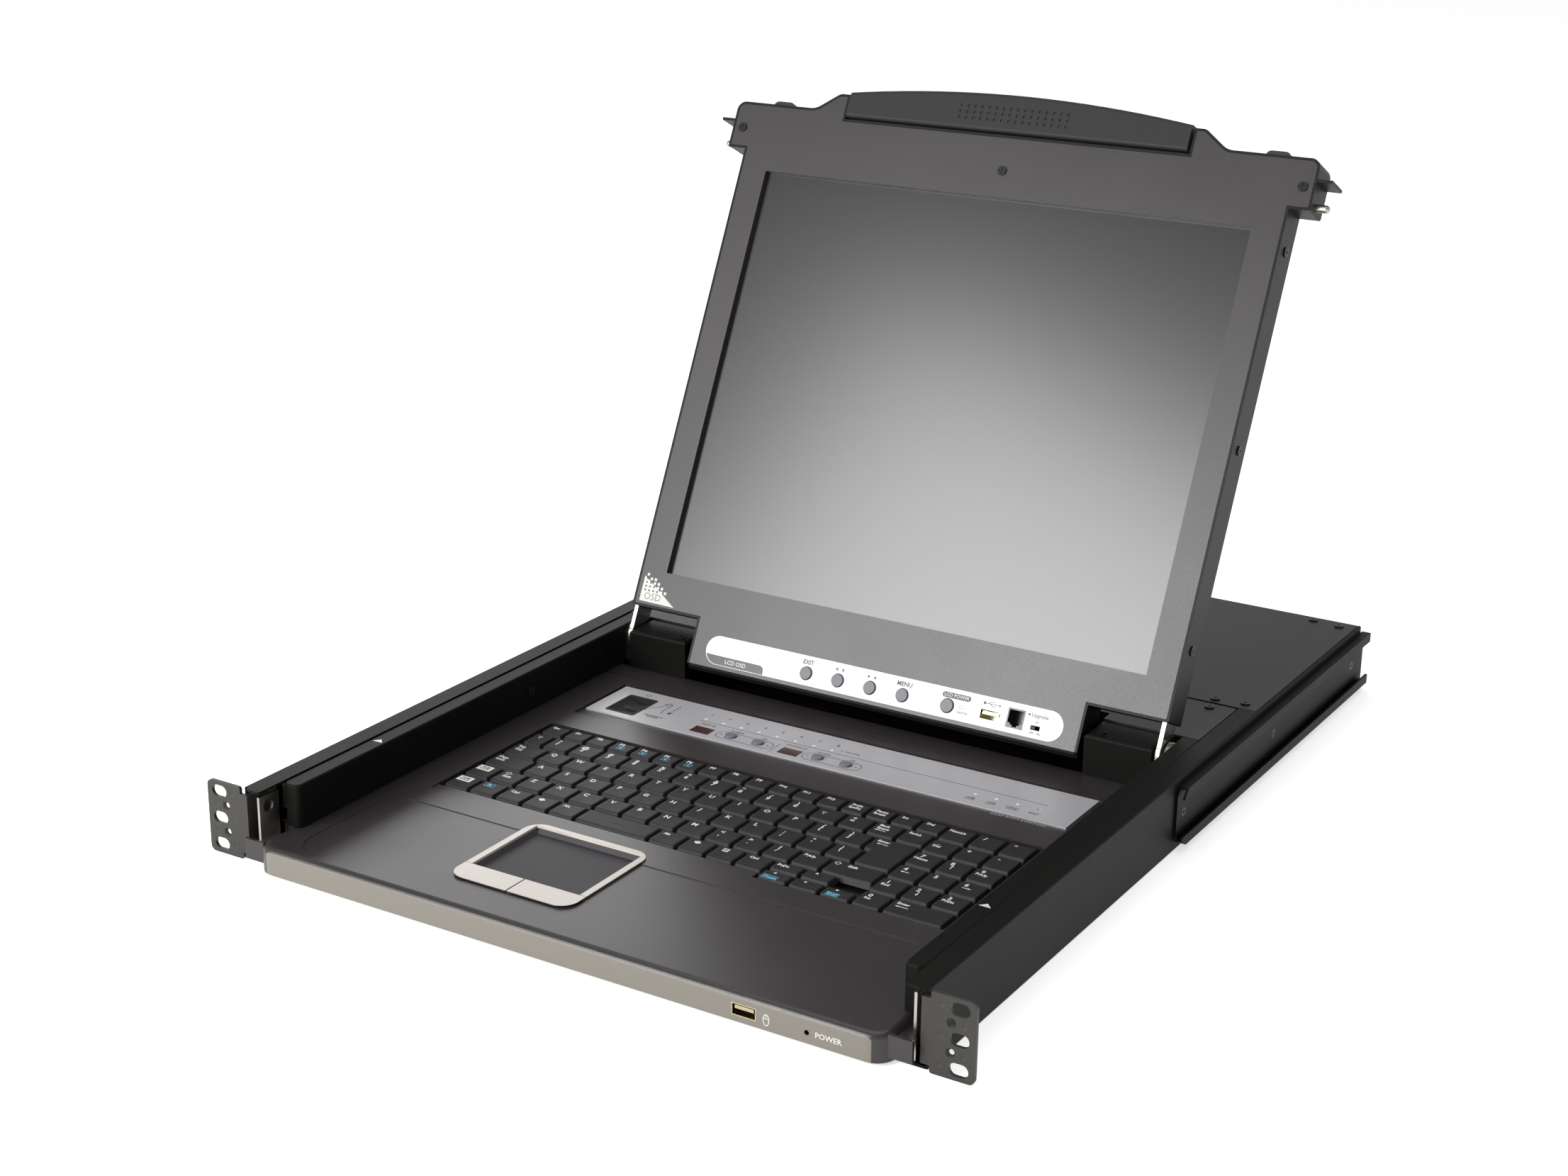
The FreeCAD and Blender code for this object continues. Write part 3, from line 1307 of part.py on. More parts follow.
def deck_tools():
    """What is cut from the deck: the beds and openings, the fine groove and the light's hole."""
    top = DECK_TOP + 1
    inlay = (-inlay_half, inlay_half)
    panel = (-panel_half - PANEL_FRAME_MARGIN, panel_half + PANEL_FRAME_MARGIN)
    panel_y = (PANEL_FRAME_FRONT, PANEL_REAR + PANEL_FRAME_MARGIN)
    tools = [
        pad(inlay, (INLAY_FRONT, INLAY_REAR), INLAY_CORNER, inlay_floor, top),
        pad(panel, panel_y, PANEL_CORNER, panel_floor, top),
        reader_space(0.1, BOARD_BOTTOM, top),
        touch_body(0.1, ring_low - 1, top),
        rim_shape(0.1, top),
        block((-board_half, board_half), (RIDGE_Y - 0.6, RIDGE_Y + 0.6), (DECK_TOP - 0.5, top)),
        front_usb_space(0.1),
        rod((front_light_x, BOARD_FRONT - 1, FRONT_LIGHT_Z), Y, LIGHT_R, DECK_SHEET + 2),
    ]
    tools += [rod((x, BUTTON_Y, BOARD_BOTTOM), Z, BUTTON_R + RUN_GAP, 30) for x in BUTTON_X]
    return tools


def keyboard_deck():
    """Moulded top of the keyboard module, with the key well and the beds for everything on it."""
    ring = key_well(WELL_WALL, KEY_PLATE_TOP, deck_under)
    well = key_well(0, KEY_PLATE_TOP - 1, DECK_TOP + 1)
    bar_y = (well_front, block_front - WELL_MARGIN / 2)
    bar = block((-well_x, FRONT_BAR_END), bar_y, (KEY_PLATE_TOP, DECK_TOP - FRONT_BAR_SINK))
    deck = deck_shell().fuse([ring] + deck_tabs()).cut(well).fuse(bar).removeSplitter()
    return deck.cut(deck_tools())


def is_deck_brow(edge):
    """True for the top edges along the front and the two front corners of the deck."""
    box = edge.BoundBox
    return box.ZMin > DECK_TOP - 0.01 and box.YMin < DECK_REAR - 1


def front_usb_space(grow):
    """The opening for the USB socket in the front edge."""
    x = (front_usb_x - USB_WIDTH / 2 - grow, front_usb_x + USB_WIDTH / 2 + grow)
    z = (FRONT_USB_Z - USB_HEIGHT / 2 - grow, FRONT_USB_Z + USB_HEIGHT / 2 + grow)
    return block(x, (BOARD_FRONT - 1, BOARD_FRONT + USB_DEPTH), z)


def reader_space(grow, low, high):
    """The footprint of the fingerprint reader."""
    half = READER_WIDTH / 2 + grow
    x = (reader_x - half, reader_x + half)
    long_half = READER_LENGTH / 2 + grow
    return pad(x, (READER_Y - long_half, READER_Y + long_half), READER_CORNER, low, high)


def fingerprint_reader():
    """Fingerprint reader: a moulded block with a groove for the finger and a raised sensor bar."""
    body = reader_space(0, panel_top - READER_DEPTH, panel_top)
    groove_y = READER_Y - READER_LENGTH / 2 + READER_GROOVE_IN
    start = (reader_x, groove_y, panel_top + READER_GROOVE_R - READER_GROOVE)
    groove = rod(start, Y, READER_GROOVE_R, READER_LENGTH - 2 * READER_GROOVE_IN)
    floor = panel_top - READER_GROOVE
    x = (reader_x - READER_BAR_WIDTH / 2, reader_x + READER_BAR_WIDTH / 2)
    y = (READER_Y - READER_BAR_LENGTH / 2, READER_Y + READER_BAR_LENGTH / 2)
    bar = block(x, y, (floor - 1, floor + READER_BAR))
    return body.cut(groove).fuse(bar).removeSplitter()


def led_panel():
    """Metal status panel with number windows, port lights, lock lights and a reset hole."""
    sheet = block((-panel_half, panel_half), (PANEL_FRONT, PANEL_REAR), (panel_floor, panel_top))
    tools = [reader_space(0.1, panel_floor - 1, panel_top + 1)]
    tools += [rod((x, BUTTON_Y, panel_floor - 1), Z, BUTTON_R + RUN_GAP, 3) for x in BUTTON_X]
    floor = panel_top - PANEL_SHEET * 0.6
    tools += [centred(x, DIGIT_Y, DIGIT_WIDTH, DIGIT_LENGTH, floor, panel_top + 1) for x in DIGIT_X]
    lights = [(LIGHT_FIRST + i * LIGHT_STEP, LIGHT_Y) for i in range(LIGHT_COUNT)]
    lights += [(lock_first + i * LOCK_STEP, LOCK_Y) for i in range(LOCK_COUNT)]
    tools += [rod((x, y, floor), Z, LIGHT_R, 2) for x, y in lights]
    tools.append(rod((lock_first + LOCK_COUNT * LOCK_STEP, LOCK_Y, floor), Z, RESET_R, 2))
    return sheet.cut(tools)


def panel_button(x):
    """A round button that stands out of the status panel, with a flange under the deck."""
    top = panel_top + BUTTON_PROUD
    low = deck_under - RUN_GAP - 1
    cap = rod((x, BUTTON_Y, low), Z, BUTTON_R, top - low)
    cap = cap.makeFillet(0.5, [edge for edge in cap.Edges if edge.BoundBox.ZMin > top - 0.01])
    return cap.fuse(rod((x, BUTTON_Y, low), Z, BUTTON_R + 1, 1)).removeSplitter()


def keyboard_base():
    """Folded steel pan under the keyboard module, longer than the deck on top of it."""
    front = BOARD_FRONT + DECK_SHEET + 0.1
    outer = block((-pan_half, pan_half), (front, BOARD_REAR), (BOARD_BOTTOM, PAN_TOP))
    half = pan_half - PAN_SHEET
    inner_y = (front - 1, BOARD_REAR - PAN_SHEET)
    inner = block((-half, half), inner_y, (BOARD_BOTTOM + PAN_SHEET, PAN_TOP + 1))
    tools = [inner]
    for sign in (-1, 1):
        edge = sign * (pan_half + 1)
        inside = sign * (pan_half - DECK_CORNER)
        points = [(edge, front + DECK_CORNER), (inside, front - 1), (edge, front - 1)]
        corners = [FreeCAD.Vector(px, py, BOARD_BOTTOM - 1) for px, py in points]
        tools.append(Part.Face(Part.makePolygon(corners + corners[:1])).extrude(Z * 30))
    return outer.cut(tools)


def touch_body(grow, low, high):
    """The footprint of the touchpad's sunken body."""
    half = RING_WIDTH / 2 - RING_LEDGE + grow
    y = (RING_FRONT + RING_LEDGE - grow, RING_FRONT + RING_LENGTH - RING_LEDGE + grow)
    return pad((PAD_X - half, PAD_X + half), y, RING_CORNER - RING_LEDGE, low, high)


def rim_shape(grow, top):
    """The footprint of the touchpad's bright rim."""
    half = RING_WIDTH / 2 + grow
    y = (RING_FRONT - grow, RING_FRONT + RING_LENGTH + grow)
    return pad((PAD_X - half, PAD_X + half), y, RING_CORNER + grow, inlay_floor, top)


def touchpad_ring():
    """Bright rim round the touchpad and the sunken tray under it."""
    x = (PAD_X - RING_WIDTH / 2, PAD_X + RING_WIDTH / 2)
    rim = rim_shape(0, RING_TOP)
    tray = touch_body(0, ring_low, inlay_floor)
    low = frustum(PAD_X, pad_mid, PAD_WIDTH, PAD_LENGTH, pad_top, PAD_SLOPE, RING_TOP)
    bed = centred(PAD_X, pad_mid, PAD_WIDTH, PAD_LENGTH, ring_low - 1, pad_top)
    click_z = (click_low - CLICK_TRAVEL - RUN_GAP, RING_TOP + 1)
    click = block((x[0] - 1, x[1] + 1), (RING_FRONT - 1, click_rear + RUN_GAP), click_z)
    return rim.fuse(tray).removeSplitter().cut([low, bed, click])


def frustum(x, y, width, length, low, spread, top):
    """A block whose four sides lean outwards by the spread as they rise."""
    wires = []
    for grow, z in ((0, low), (spread, top + 0.01)):
        half = width / 2 + grow
        long_half = length / 2 + grow
        wire = outline([(x + i * half, y + j * long_half, 0) for i, j in SQUARE])
        wire.translate(Z * z)
        wires.append(wire)
    return Part.makeLoft(wires, True)


def touch_button(sign):
    """One of the two click buttons that form the front of the bright rim."""
    inner = PAD_X + sign * CLICK_SLIT / 2
    outer = PAD_X + sign * RING_WIDTH / 2
    front = RING_FRONT
    corners = [
        (inner, front, 0), (outer, front, RING_CORNER), (outer, click_rear, 0), (inner, click_rear, 0)
    ]
    if sign < 0:
        corners.reverse()
    cap = plate(corners, inlay_floor + CLICK_TRAVEL + RUN_GAP, RING_TOP)
    return cap.fuse(click_stem(sign, inner, outer)).removeSplitter()


def click_stem(sign, inner, outer):
    """The part of a click button that stands in the touchpad's tray."""
    x = (inner, outer - sign * (RING_LEDGE + RUN_GAP + RING_CORNER / 2))
    y = (RING_FRONT + RING_LEDGE + RUN_GAP, click_rear)
    return block(x, y, (click_low, RING_TOP))


# ---- keys -----------------------------------------------------------------------------------
def key_rows():
    """Every key of the main block as (row, first unit, last unit), by group; row 0 is at the rear."""
    rows = {
        "function_keys": [(0, 0, [MAIN_UNITS / FUNCTION_KEYS] * FUNCTION_KEYS)],
        "number_keys": [(1, 0, [0.78] + [1] * 14)],
        "letter_keys": [
            (2, 0, [1.27] + [1] * 12),
            (3, 0, [1.51] + [1] * 12),
            (4, 0, [0.97] + [1] * 11 + [1.03, 1.78]),
        ],
        "control_keys": [(5, 0, [0.97] + [1] * 4), (5, SPACE_LEFT + SPACE_UNITS, [1.02, 1, 1, 1])],
        "space_bar": [(5, SPACE_LEFT, [SPACE_UNITS])],
    }
    keys = {name: [] for name in rows}
    for name, lines in rows.items():
        for row, left, widths in lines:
            for width in widths:
                keys[name].append((row, left, left + width))
                left += width
    return keys


def row_span(row):
    """The front and rear edges of a row of the main block."""
    if row == 0:
        return KEY_REAR - FUNCTION_DEPTH, KEY_REAR
    rear = KEY_REAR - FUNCTION_DEPTH - (row - 1) * ROW_DEPTH
    return rear - ROW_DEPTH, rear


def key_cap(left, right, front, rear):
    """One key: a cap whose sides lean in and whose front leans in most."""
    gap = KEY_SPACE / 2
    wires = []
    for taper, front_taper, z in ((0, 0, key_low), (KEY_TAPER, KEY_FRONT_TAPER, KEY_TOP)):
        x = (left + gap + taper, right - gap - taper)
        y = (front + gap + front_taper, rear - gap - taper)
        wire = outline([(px, py, KEY_CORNER) for px, py in corners_of(x, y)])
        wire.translate(Z * z)
        wires.append(wire)
    return Part.makeLoft(wires, True)


def corners_of(x, y):
    """The corners of a rectangle, counted against the clock."""
    return [(x[0], y[0]), (x[1], y[0]), (x[1], y[1]), (x[0], y[1])]


def stem(place, radius, low, top):
    """The post under the middle of a key."""
    left, right, front, rear = place
    return rod(((left + right) / 2, (front + rear) / 2, low), Z, radius, top - low)


def main_places(name):
    """The (left, right, front, rear) cells of one group of the main block."""
    places = []
    for row, first, last in key_rows()[name]:
        front, rear = row_span(row)
        places.append((KEY_LEFT + first * KEY_PITCH, KEY_LEFT + last * KEY_PITCH, front, rear))
    return places


def arrow_places():
    """The cells of the arrow block, whose keys are half as deep as their rows."""
    left = KEY_LEFT + key_rows()["control_keys"][-1][2] * KEY_PITCH
    width = (KEY_LEFT + MAIN_UNITS * KEY_PITCH - left) / 3
    rear = row_span(5)[1]
    middle = (rear + pad_front) / 2
    upper = [(i, middle, rear) for i in (0, 1)]
    lower = [(i, pad_front, middle) for i in (0, 1, 2)]
    cells = sorted(upper + lower, key=lambda cell: (cell[0], -cell[1]))
    return [(left + i * width, left + (i + 1) * width, front, back) for i, front, back in cells]


def numpad_places():
    """The cells of the number pad; the last row has a wide Enter key."""
    left = KEY_LEFT + MAIN_UNITS * KEY_PITCH
    places = []
    rows = [[(0, 1), (1, 2), (2, 3)]] * (PAD_ROWS - 1) + [[(0, 1), (1, 3)]]
    for row, spans in enumerate(rows):
        rear = KEY_REAR - row * PAD_ROW_DEPTH
        for first, last in spans:
            x = (left + first * PAD_PITCH, left + last * PAD_PITCH)
            places.append((*x, rear - PAD_ROW_DEPTH, rear))
    return places


def enter_places():
    """The upper cell and the lower leg of the bent Enter key."""
    right = KEY_LEFT + MAIN_UNITS * KEY_PITCH
    front, rear = row_span(2)
    ends = {row: last for row, first, last in key_rows()["letter_keys"][:26]}
    upper = (KEY_LEFT + ends[2] * KEY_PITCH, right, front, rear)
    leg = (KEY_LEFT + ends[3] * KEY_PITCH, right, row_span(3)[0], rear)
    return upper, leg


def all_places():
    """Every key's cell, by group."""
    places = {name: main_places(name) for name in key_rows()}
    places["control_keys"] += arrow_places()
    places["numpad_keys"] = numpad_places()
    return places


def keys(places):
    """The keys of one group, each with its stem."""
    low = key_low - STEM_LENGTH
    return [key_cap(*place).fuse(stem(place, STEM_R, low, KEY_TOP - 1)) for place in places]


def enter_key():
    """The bent Enter key over two rows."""
    upper, leg = enter_places()
    post = stem(upper, STEM_R, key_low - STEM_LENGTH, KEY_TOP - 1)
    return key_cap(*upper).fuse([key_cap(*leg), post]).removeSplitter()


def key_plate(places):
    """Steel plate under the keys, with a hole for each stem."""
    x = (-well_x - WELL_WALL, well_x + WELL_WALL)
    y = (well_front - WELL_WALL, well_rear + WELL_WALL)
    sheet = block(x, y, (KEY_PLATE_TOP - KEY_PLATE_SHEET, KEY_PLATE_TOP))
    cells = sum(places.values(), []) + [enter_places()[0]]
    low = KEY_PLATE_TOP - 2 * KEY_PLATE_SHEET
    return sheet.cut([stem(cell, STEM_R + STEM_GAP, low, KEY_PLATE_TOP + 1) for cell in cells])


# ---- the files ------------------------------------------------------------------------------
os.makedirs("parts", exist_ok=True)

rail = side_rail()
ear = rack_ear()
save("right_side_rail", rail)
save("left_side_rail", mirrored(rail))
save("right_rack_ear", ear)
save("left_rack_ear", mirrored(ear))
save("catch_plates", pair(catch_plate()))
save("slide_channels", pair(slide_channel(DISPLAY_SLIDE_Z)) + pair(slide_channel(KEYBOARD_SLIDE_Z)))
save("rear_channels", pair(rear_channel()))
save("rear_tray", rear_tray())
save("rear_cover", rear_cover())
save("rear_panel", rear_panel())
save("rear_sockets", [rear_socket(x) for x in socket_places()])
save("power_inlet", power_inlet())
save("power_switch", power_switch())
save("power_supply", power_supply())
save("switch_board", switch_board())
frame_screws = [screw(point, Z * -1) for point in cover_points()]
frame_screws += [flat_screw(point, X * -1) for point in side_points()]
save("frame_screws", sum([pair(part) for part in frame_screws], []))

wall = carriage_wall()
save("right_carriage_wall", wall)
save("left_carriage_wall", mirrored(wall))
save("tie_plate", tie_plate())
save("hinge_covers", pair(hinge_cover()))
save("hinge_brackets", pair(hinge_bracket()))
save("display_slide_runners", pair(slide_runner(wall_out, DISPLAY_SLIDE_Z)))
carriage_screws = [screw(point, X) for point in wall_points()]
carriage_screws.append(screw(tie_points(), Z * -1))
carriage_screws.append(screw(hinge_cover_point(), Z * -1))
save("carriage_screws", sum([pair(part) for part in carriage_screws], []))

save("display_shell", tilted(display_shell()))
save("bezel_plate", tilted(bezel_plate()))
save("screen_panel", tilted(screen_panel()))
save("handle_grip", tilted(handle_grip()))
save("hinge_arms", [tilted(hinge_arm(sign)) for sign in (-1, 1)])
save("osd_strip", tilted(osd_strip()))
usb = usb_socket()
jack = jack_socket()
usb.translate(FreeCAD.Vector(usb_x, KNOB_Y, STRIP_PROUD))
jack.translate(FreeCAD.Vector(jack_x, JACK_Y, STRIP_PROUD))
save("osd_sockets", [tilted(usb), tilted(jack)])
display_screws = [screw(point, Z * -1) for point in bezel_points()]
display_screws += [screw(point, inward) for point, inward in side_display_screws()]
save("display_screws", [tilted(part) for part in display_screws])
save("left_catch", tilted(catch(-1)))
save("right_catch", tilted(catch(1)))
for number, place in enumerate(knob_places(), 1):
    save("osd_button_" + str(number), tilted(osd_button(place, KNOB_R)))
save("display_power_button", tilted(osd_button(power_x, POWER_R)))
save("osd_slide_switch", tilted(osd_slide_switch()))

save("keyboard_deck", keyboard_deck())
save("keyboard_base", keyboard_base())
save("keyboard_slide_runners", pair(slide_runner(board_half, KEYBOARD_SLIDE_Z)))
save("led_panel", led_panel())
save("fingerprint_reader", fingerprint_reader())
for number, place in enumerate(BUTTON_X, 1):
    save("panel_button_" + str(number), panel_button(place))
save("touchpad_ring", touchpad_ring())
save("touchpad", centred(PAD_X, pad_mid, PAD_WIDTH, PAD_LENGTH, ring_low, pad_top))
save("touchpad_left_button", touch_button(-1))
save("touchpad_right_button", touch_button(1))
front_usb = usb_socket()
front_usb.rotate(FreeCAD.Vector(0, 0, 0), X, 90)
front_usb.translate(FreeCAD.Vector(front_usb_x, BOARD_FRONT, FRONT_USB_Z))
save("front_usb_socket", front_usb)
cells = all_places()
save("key_plate", key_plate(cells))
for name, places in cells.items():
    group = keys(places)
    if name == "letter_keys":
        group.append(enter_key())
    save(name, group)
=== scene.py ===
import math

import bmesh
import bpy
from mathutils import Matrix, Quaternion, Vector


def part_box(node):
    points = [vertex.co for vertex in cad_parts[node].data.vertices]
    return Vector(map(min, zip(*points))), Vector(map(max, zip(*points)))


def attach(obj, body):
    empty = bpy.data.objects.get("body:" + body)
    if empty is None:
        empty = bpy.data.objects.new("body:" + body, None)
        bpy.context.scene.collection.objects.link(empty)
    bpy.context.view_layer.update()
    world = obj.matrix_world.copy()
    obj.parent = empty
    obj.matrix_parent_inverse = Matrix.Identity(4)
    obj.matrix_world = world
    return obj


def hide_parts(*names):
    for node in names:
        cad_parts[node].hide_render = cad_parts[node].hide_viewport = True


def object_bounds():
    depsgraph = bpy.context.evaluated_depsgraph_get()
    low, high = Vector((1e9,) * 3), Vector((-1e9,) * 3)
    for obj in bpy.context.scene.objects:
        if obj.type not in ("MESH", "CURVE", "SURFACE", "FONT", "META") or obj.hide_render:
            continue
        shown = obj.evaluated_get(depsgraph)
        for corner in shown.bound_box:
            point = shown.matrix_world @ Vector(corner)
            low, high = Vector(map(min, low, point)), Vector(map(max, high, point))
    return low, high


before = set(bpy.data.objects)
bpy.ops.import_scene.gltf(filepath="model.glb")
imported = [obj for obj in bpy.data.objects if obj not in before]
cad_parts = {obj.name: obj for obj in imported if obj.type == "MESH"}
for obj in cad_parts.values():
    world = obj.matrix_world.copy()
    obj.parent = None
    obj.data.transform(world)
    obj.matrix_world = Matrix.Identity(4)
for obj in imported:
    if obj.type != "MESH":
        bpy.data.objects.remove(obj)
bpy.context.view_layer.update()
MM = 0.001


# The chassis: two deep side rails, a rear tray with its back wall, and the rear mounting
# channels, all folded from sheet steel and finished in a fine black powder coat.

class Signal:
    """One output in a node tree; sums and products of signals add Math nodes to it."""

    def __init__(self, tree, socket=None):
        self.tree = tree
        self.socket = socket

    def node(self, kind, settings, values, output=0):
        """Adds a node, gives it its settings and then its sockets, and returns one output."""
        made = self.tree.nodes.new(kind)
        for name, value in settings.items():
            setattr(made, name, value)
        for name, value in values.items():
            if isinstance(value, Signal):
                self.tree.links.new(value.socket, made.inputs[name])
            else:
                made.inputs[name].default_value = value
        return Signal(self.tree, made.outputs[output])

    def math(self, operation, *terms):
        """Adds a Math node with these terms."""
        return self.node("ShaderNodeMath", {"operation": operation}, dict(enumerate(terms)))

    def __add__(self, other):
        return self.math("ADD", self, other)

    def __sub__(self, other):
        return self.math("SUBTRACT", self, other)

    def __rsub__(self, other):
        return self.math("SUBTRACT", other, self)

    def __mul__(self, other):
        return self.math("MULTIPLY", self, other)

    __radd__ = __add__
    __rmul__ = __mul__


def tint(red, green, blue):
    """A colour given as display values from 0 to 255, in the linear values that shaders use."""
    def linear(value):
        value /= 255
        return value / 12.92 if value <= 0.04045 else ((value + 0.055) / 1.055) ** 2.4

    return (linear(red), linear(green), linear(blue), 1.0)


def new_finish(name, **fixed):
    """A new material with some fixed values, its shader, and object position as a signal."""
    finish = bpy.data.materials.new(name)
    finish.use_nodes = True
    tree = finish.node_tree
    shader = tree.nodes["Principled BSDF"]
    for socket, value in fixed.items():
        shader.inputs[socket.replace("_", " ").title().replace("Ior", "IOR")].default_value = value
    place = Signal(tree).node("ShaderNodeTexCoord", {}, {}, "Object")
    return finish, shader, place


def feed(shader, **signals):
    """Leads signals into a shader's sockets."""
    for socket, signal in signals.items():
        signal.tree.links.new(signal.socket, shader.inputs[socket.replace("_", " ").title()])


SPECK_SHARE = 0.6
SPECK_SHEEN = 0.12
CLOUD_SHEEN = 0.08
GRAIN_DEPTH = 0.05


def mixed(factor, dark, light):
    """A colour between two others."""
    return factor.node(
        "ShaderNodeMix", {"data_type": "RGBA"}, {"Factor": factor, 6: dark, 7: light}, 2
    )


def noise(place, scale, detail):
    """Soft noise over a place."""
    return place.node("ShaderNodeTexNoise", {}, {"Vector": place, "Scale": scale, "Detail": detail})


def bumped(height, strength, depth):
    """Small relief from a height, with its depth in millimetres."""
    return height.node(
        "ShaderNodeBump", {}, {"Strength": strength, "Distance": depth * MM, "Height": height}
    )


def mottled(name, dark, light, grain, roughness, relief, metallic=0.0, specular=0.5, clouds=14.0):
    """A moulded or coated finish: fine grain, faint clouds of tone and an uneven sheen."""
    finish, shader, place = new_finish(name, metallic=metallic, specular_ior_level=specular)
    speck = noise(place, grain, 2.0)
    cloud = noise(place, clouds, 3.0)
    tone = speck * SPECK_SHARE + cloud * (1.0 - SPECK_SHARE)
    feed(
        shader, base_color=mixed(tone, dark, light),
        roughness=(speck - 0.5) * SPECK_SHEEN + (cloud - 0.5) * CLOUD_SHEEN + roughness,
        normal=bumped(speck, relief, GRAIN_DEPTH),
    )
    return finish


def coat(finish, *nodes):
    """Gives solids of the chassis their finish."""
    for node in nodes:
        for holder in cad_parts[node].material_slots:
            holder.material = finish


powder_black = mottled(
    "powder_black", tint(9, 9, 8), tint(22, 22, 20), 1500.0, 0.5, 0.35, specular=0.1
)
coat(
    powder_black, "left_side_rail", "right_side_rail", "rear_tray", "rear_panel",
    "rear_channels", "left_carriage_wall", "right_carriage_wall", "hinge_covers",
    "keyboard_base",
)


# The rack ears: thicker steel plates turned outward at the front of the rails, with three
# round-ended bolt slots each. Their thin grey-black plating lets the steel shine through.

ear_plate = mottled(
    "ear_plate", tint(44, 43, 40), tint(66, 64, 60), 900.0, 0.5, 0.2, metallic=0.35, clouds=40.0
)
coat(ear_plate, "left_rack_ear", "right_rack_ear")


# The running gear: slide channels, runners, catch plates, hinge arms and brackets in zinc
# plated steel, drawn lengthwise, so its polish has faint long streaks.

STREAK_SHARE = 0.65
STREAK_SHEEN = 0.25
STREAK_RELIEF = 0.15
STREAK_DEPTH = 0.02
PATCHES = 30.0


def drawn_steel(name, dark, light, roughness, stretch):
    """Bright metal with fine streaks along one direction."""
    finish, shader, place = new_finish(name, metallic=1.0)
    along = place.node("ShaderNodeMapping", {}, {"Vector": place, "Scale": stretch})
    streak = noise(along, 1.0, 4.0)
    cloud = noise(place, PATCHES, 2.0)
    tone = streak * STREAK_SHARE + cloud * (1.0 - STREAK_SHARE)
    feed(
        shader, base_color=mixed(tone, dark, light),
        roughness=(tone - 0.5) * STREAK_SHEEN + roughness,
        normal=bumped(streak, STREAK_RELIEF, STREAK_DEPTH),
    )
    return finish


plated_steel = drawn_steel(
    "plated_steel", tint(150, 146, 138), tint(200, 196, 188), 0.32, (900.0, 40.0, 900.0)
)
coat(
    plated_steel, "catch_plates", "slide_channels", "display_slide_runners",
    "keyboard_slide_runners", "hinge_arms", "hinge_brackets",
)


# The screws: small black machine screws, some countersunk, each with a cross recess. Each
# solid screw is copied, and a cross is sunk into its head.

DISPLAY_TILT = 25.63
HINGE_Y = 343.0
HINGE_Z = 13.0
PIVOT_BELOW = 42.4
PIVOT_BEHIND = 13.3
DISPLAY_STAND = (
    Matrix.Translation((0, HINGE_Y * MM, HINGE_Z * MM))
    @ Matrix.Rotation(math.radians(90 - DISPLAY_TILT), 4, "X")
    @ Matrix.Translation((0, PIVOT_BELOW * MM, PIVOT_BEHIND * MM))
)
RECESS_ARM = 2.9
RECESS_WIDTH = 0.75
RECESS_DEPTH = 1.1
JOIN_WITHIN = 0.002
HEAD_LEAST = 2.3
HEAD_CORNERS = 5
FLAT_SLACK = 0.02
ROUND_SLACK = 0.1

screw_black = mottled(
    "screw_black", tint(18, 18, 18), tint(44, 43, 41), 2500.0, 0.38, 0.2, metallic=0.6
)


def show(thing):
    """Puts an object in the scene."""
    bpy.context.scene.collection.objects.link(thing)


def prism(form, points, low, high):
    """Adds an upright block with a drawn outline to a form."""
    floor = [form.verts.new((x, y, low)) for x, y in points]
    roof = [form.verts.new((x, y, high)) for x, y in points]
    form.faces.new(floor[::-1])
    form.faces.new(roof)
    for i, corner in enumerate(floor):
        after = (i + 1) % len(floor)
        form.faces.new((corner, floor[after], roof[after], roof[i]))


def whole(node):
    """A copy of a solid's mesh with its corners joined, so that it is closed."""
    form = bmesh.new()
    form.from_mesh(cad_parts[node].data)
    bmesh.ops.remove_doubles(form, verts=form.verts, dist=JOIN_WITHIN * MM)
    return form


def islands(form):
    """The corners of each separate solid in a form."""
    seen = set()
    groups = []
    for start in form.verts:
        if start in seen:
            continue
        seen.add(start)
        group = [start]
        for corner in group:
            for edge in corner.link_edges:
                other = edge.other_vert(corner)
                if other not in seen:
                    seen.add(other)
                    group.append(other)
        groups.append([corner.co.copy() for corner in group])
    return groups


def head_of(group):
    """Where the round head of one screw is, and which way it faces."""
    for side in (1, -1):
        for axis in (Vector((1, 0, 0)), Vector((0, 1, 0)), Vector((0, 0, 1)),
                     DISPLAY_STAND.to_3x3() @ Vector((0, 0, 1))):
            facing = axis * side
            top = max(facing.dot(corner) for corner in group)
            face = [corner for corner in group if facing.dot(corner) > top - FLAT_SLACK * MM]
            centre = sum(face, Vector()) / len(face)
            reach = [(corner - centre).length for corner in face]
            is_round = max(reach) - min(reach) < ROUND_SLACK * MM
            if len(face) > HEAD_CORNERS and min(reach) > HEAD_LEAST * MM and is_round:
                return centre, facing
    return None


def new_tree(name, inputs):
    """An empty geometry tree with named inputs and one geometry output."""
    tree = bpy.data.node_groups.new(name, "GeometryNodeTree")
    tree.interface.new_socket("Geometry", in_out="INPUT", socket_type="NodeSocketGeometry")
    for title, kind in inputs:
        tree.interface.new_socket(title, in_out="INPUT", socket_type="NodeSocket" + kind)
    tree.interface.new_socket("Geometry", in_out="OUTPUT", socket_type="NodeSocketGeometry")
    source = tree.nodes.new("NodeGroupInput")
    given = {socket.name: Signal(tree, socket) for socket in source.outputs if socket.name}
    return tree, given


def end_tree(tree, geometry, finish):
    """Makes the copies real, gives them their finish and leads them out of the tree."""
    real = geometry.node("GeometryNodeRealizeInstances", {}, {"Geometry": geometry})
    dressed = real.node("GeometryNodeSetMaterial", {}, {"Geometry": real, "Material": finish})
    sink = tree.nodes.new("NodeGroupOutput")
    tree.links.new(dressed.socket, sink.inputs[0])


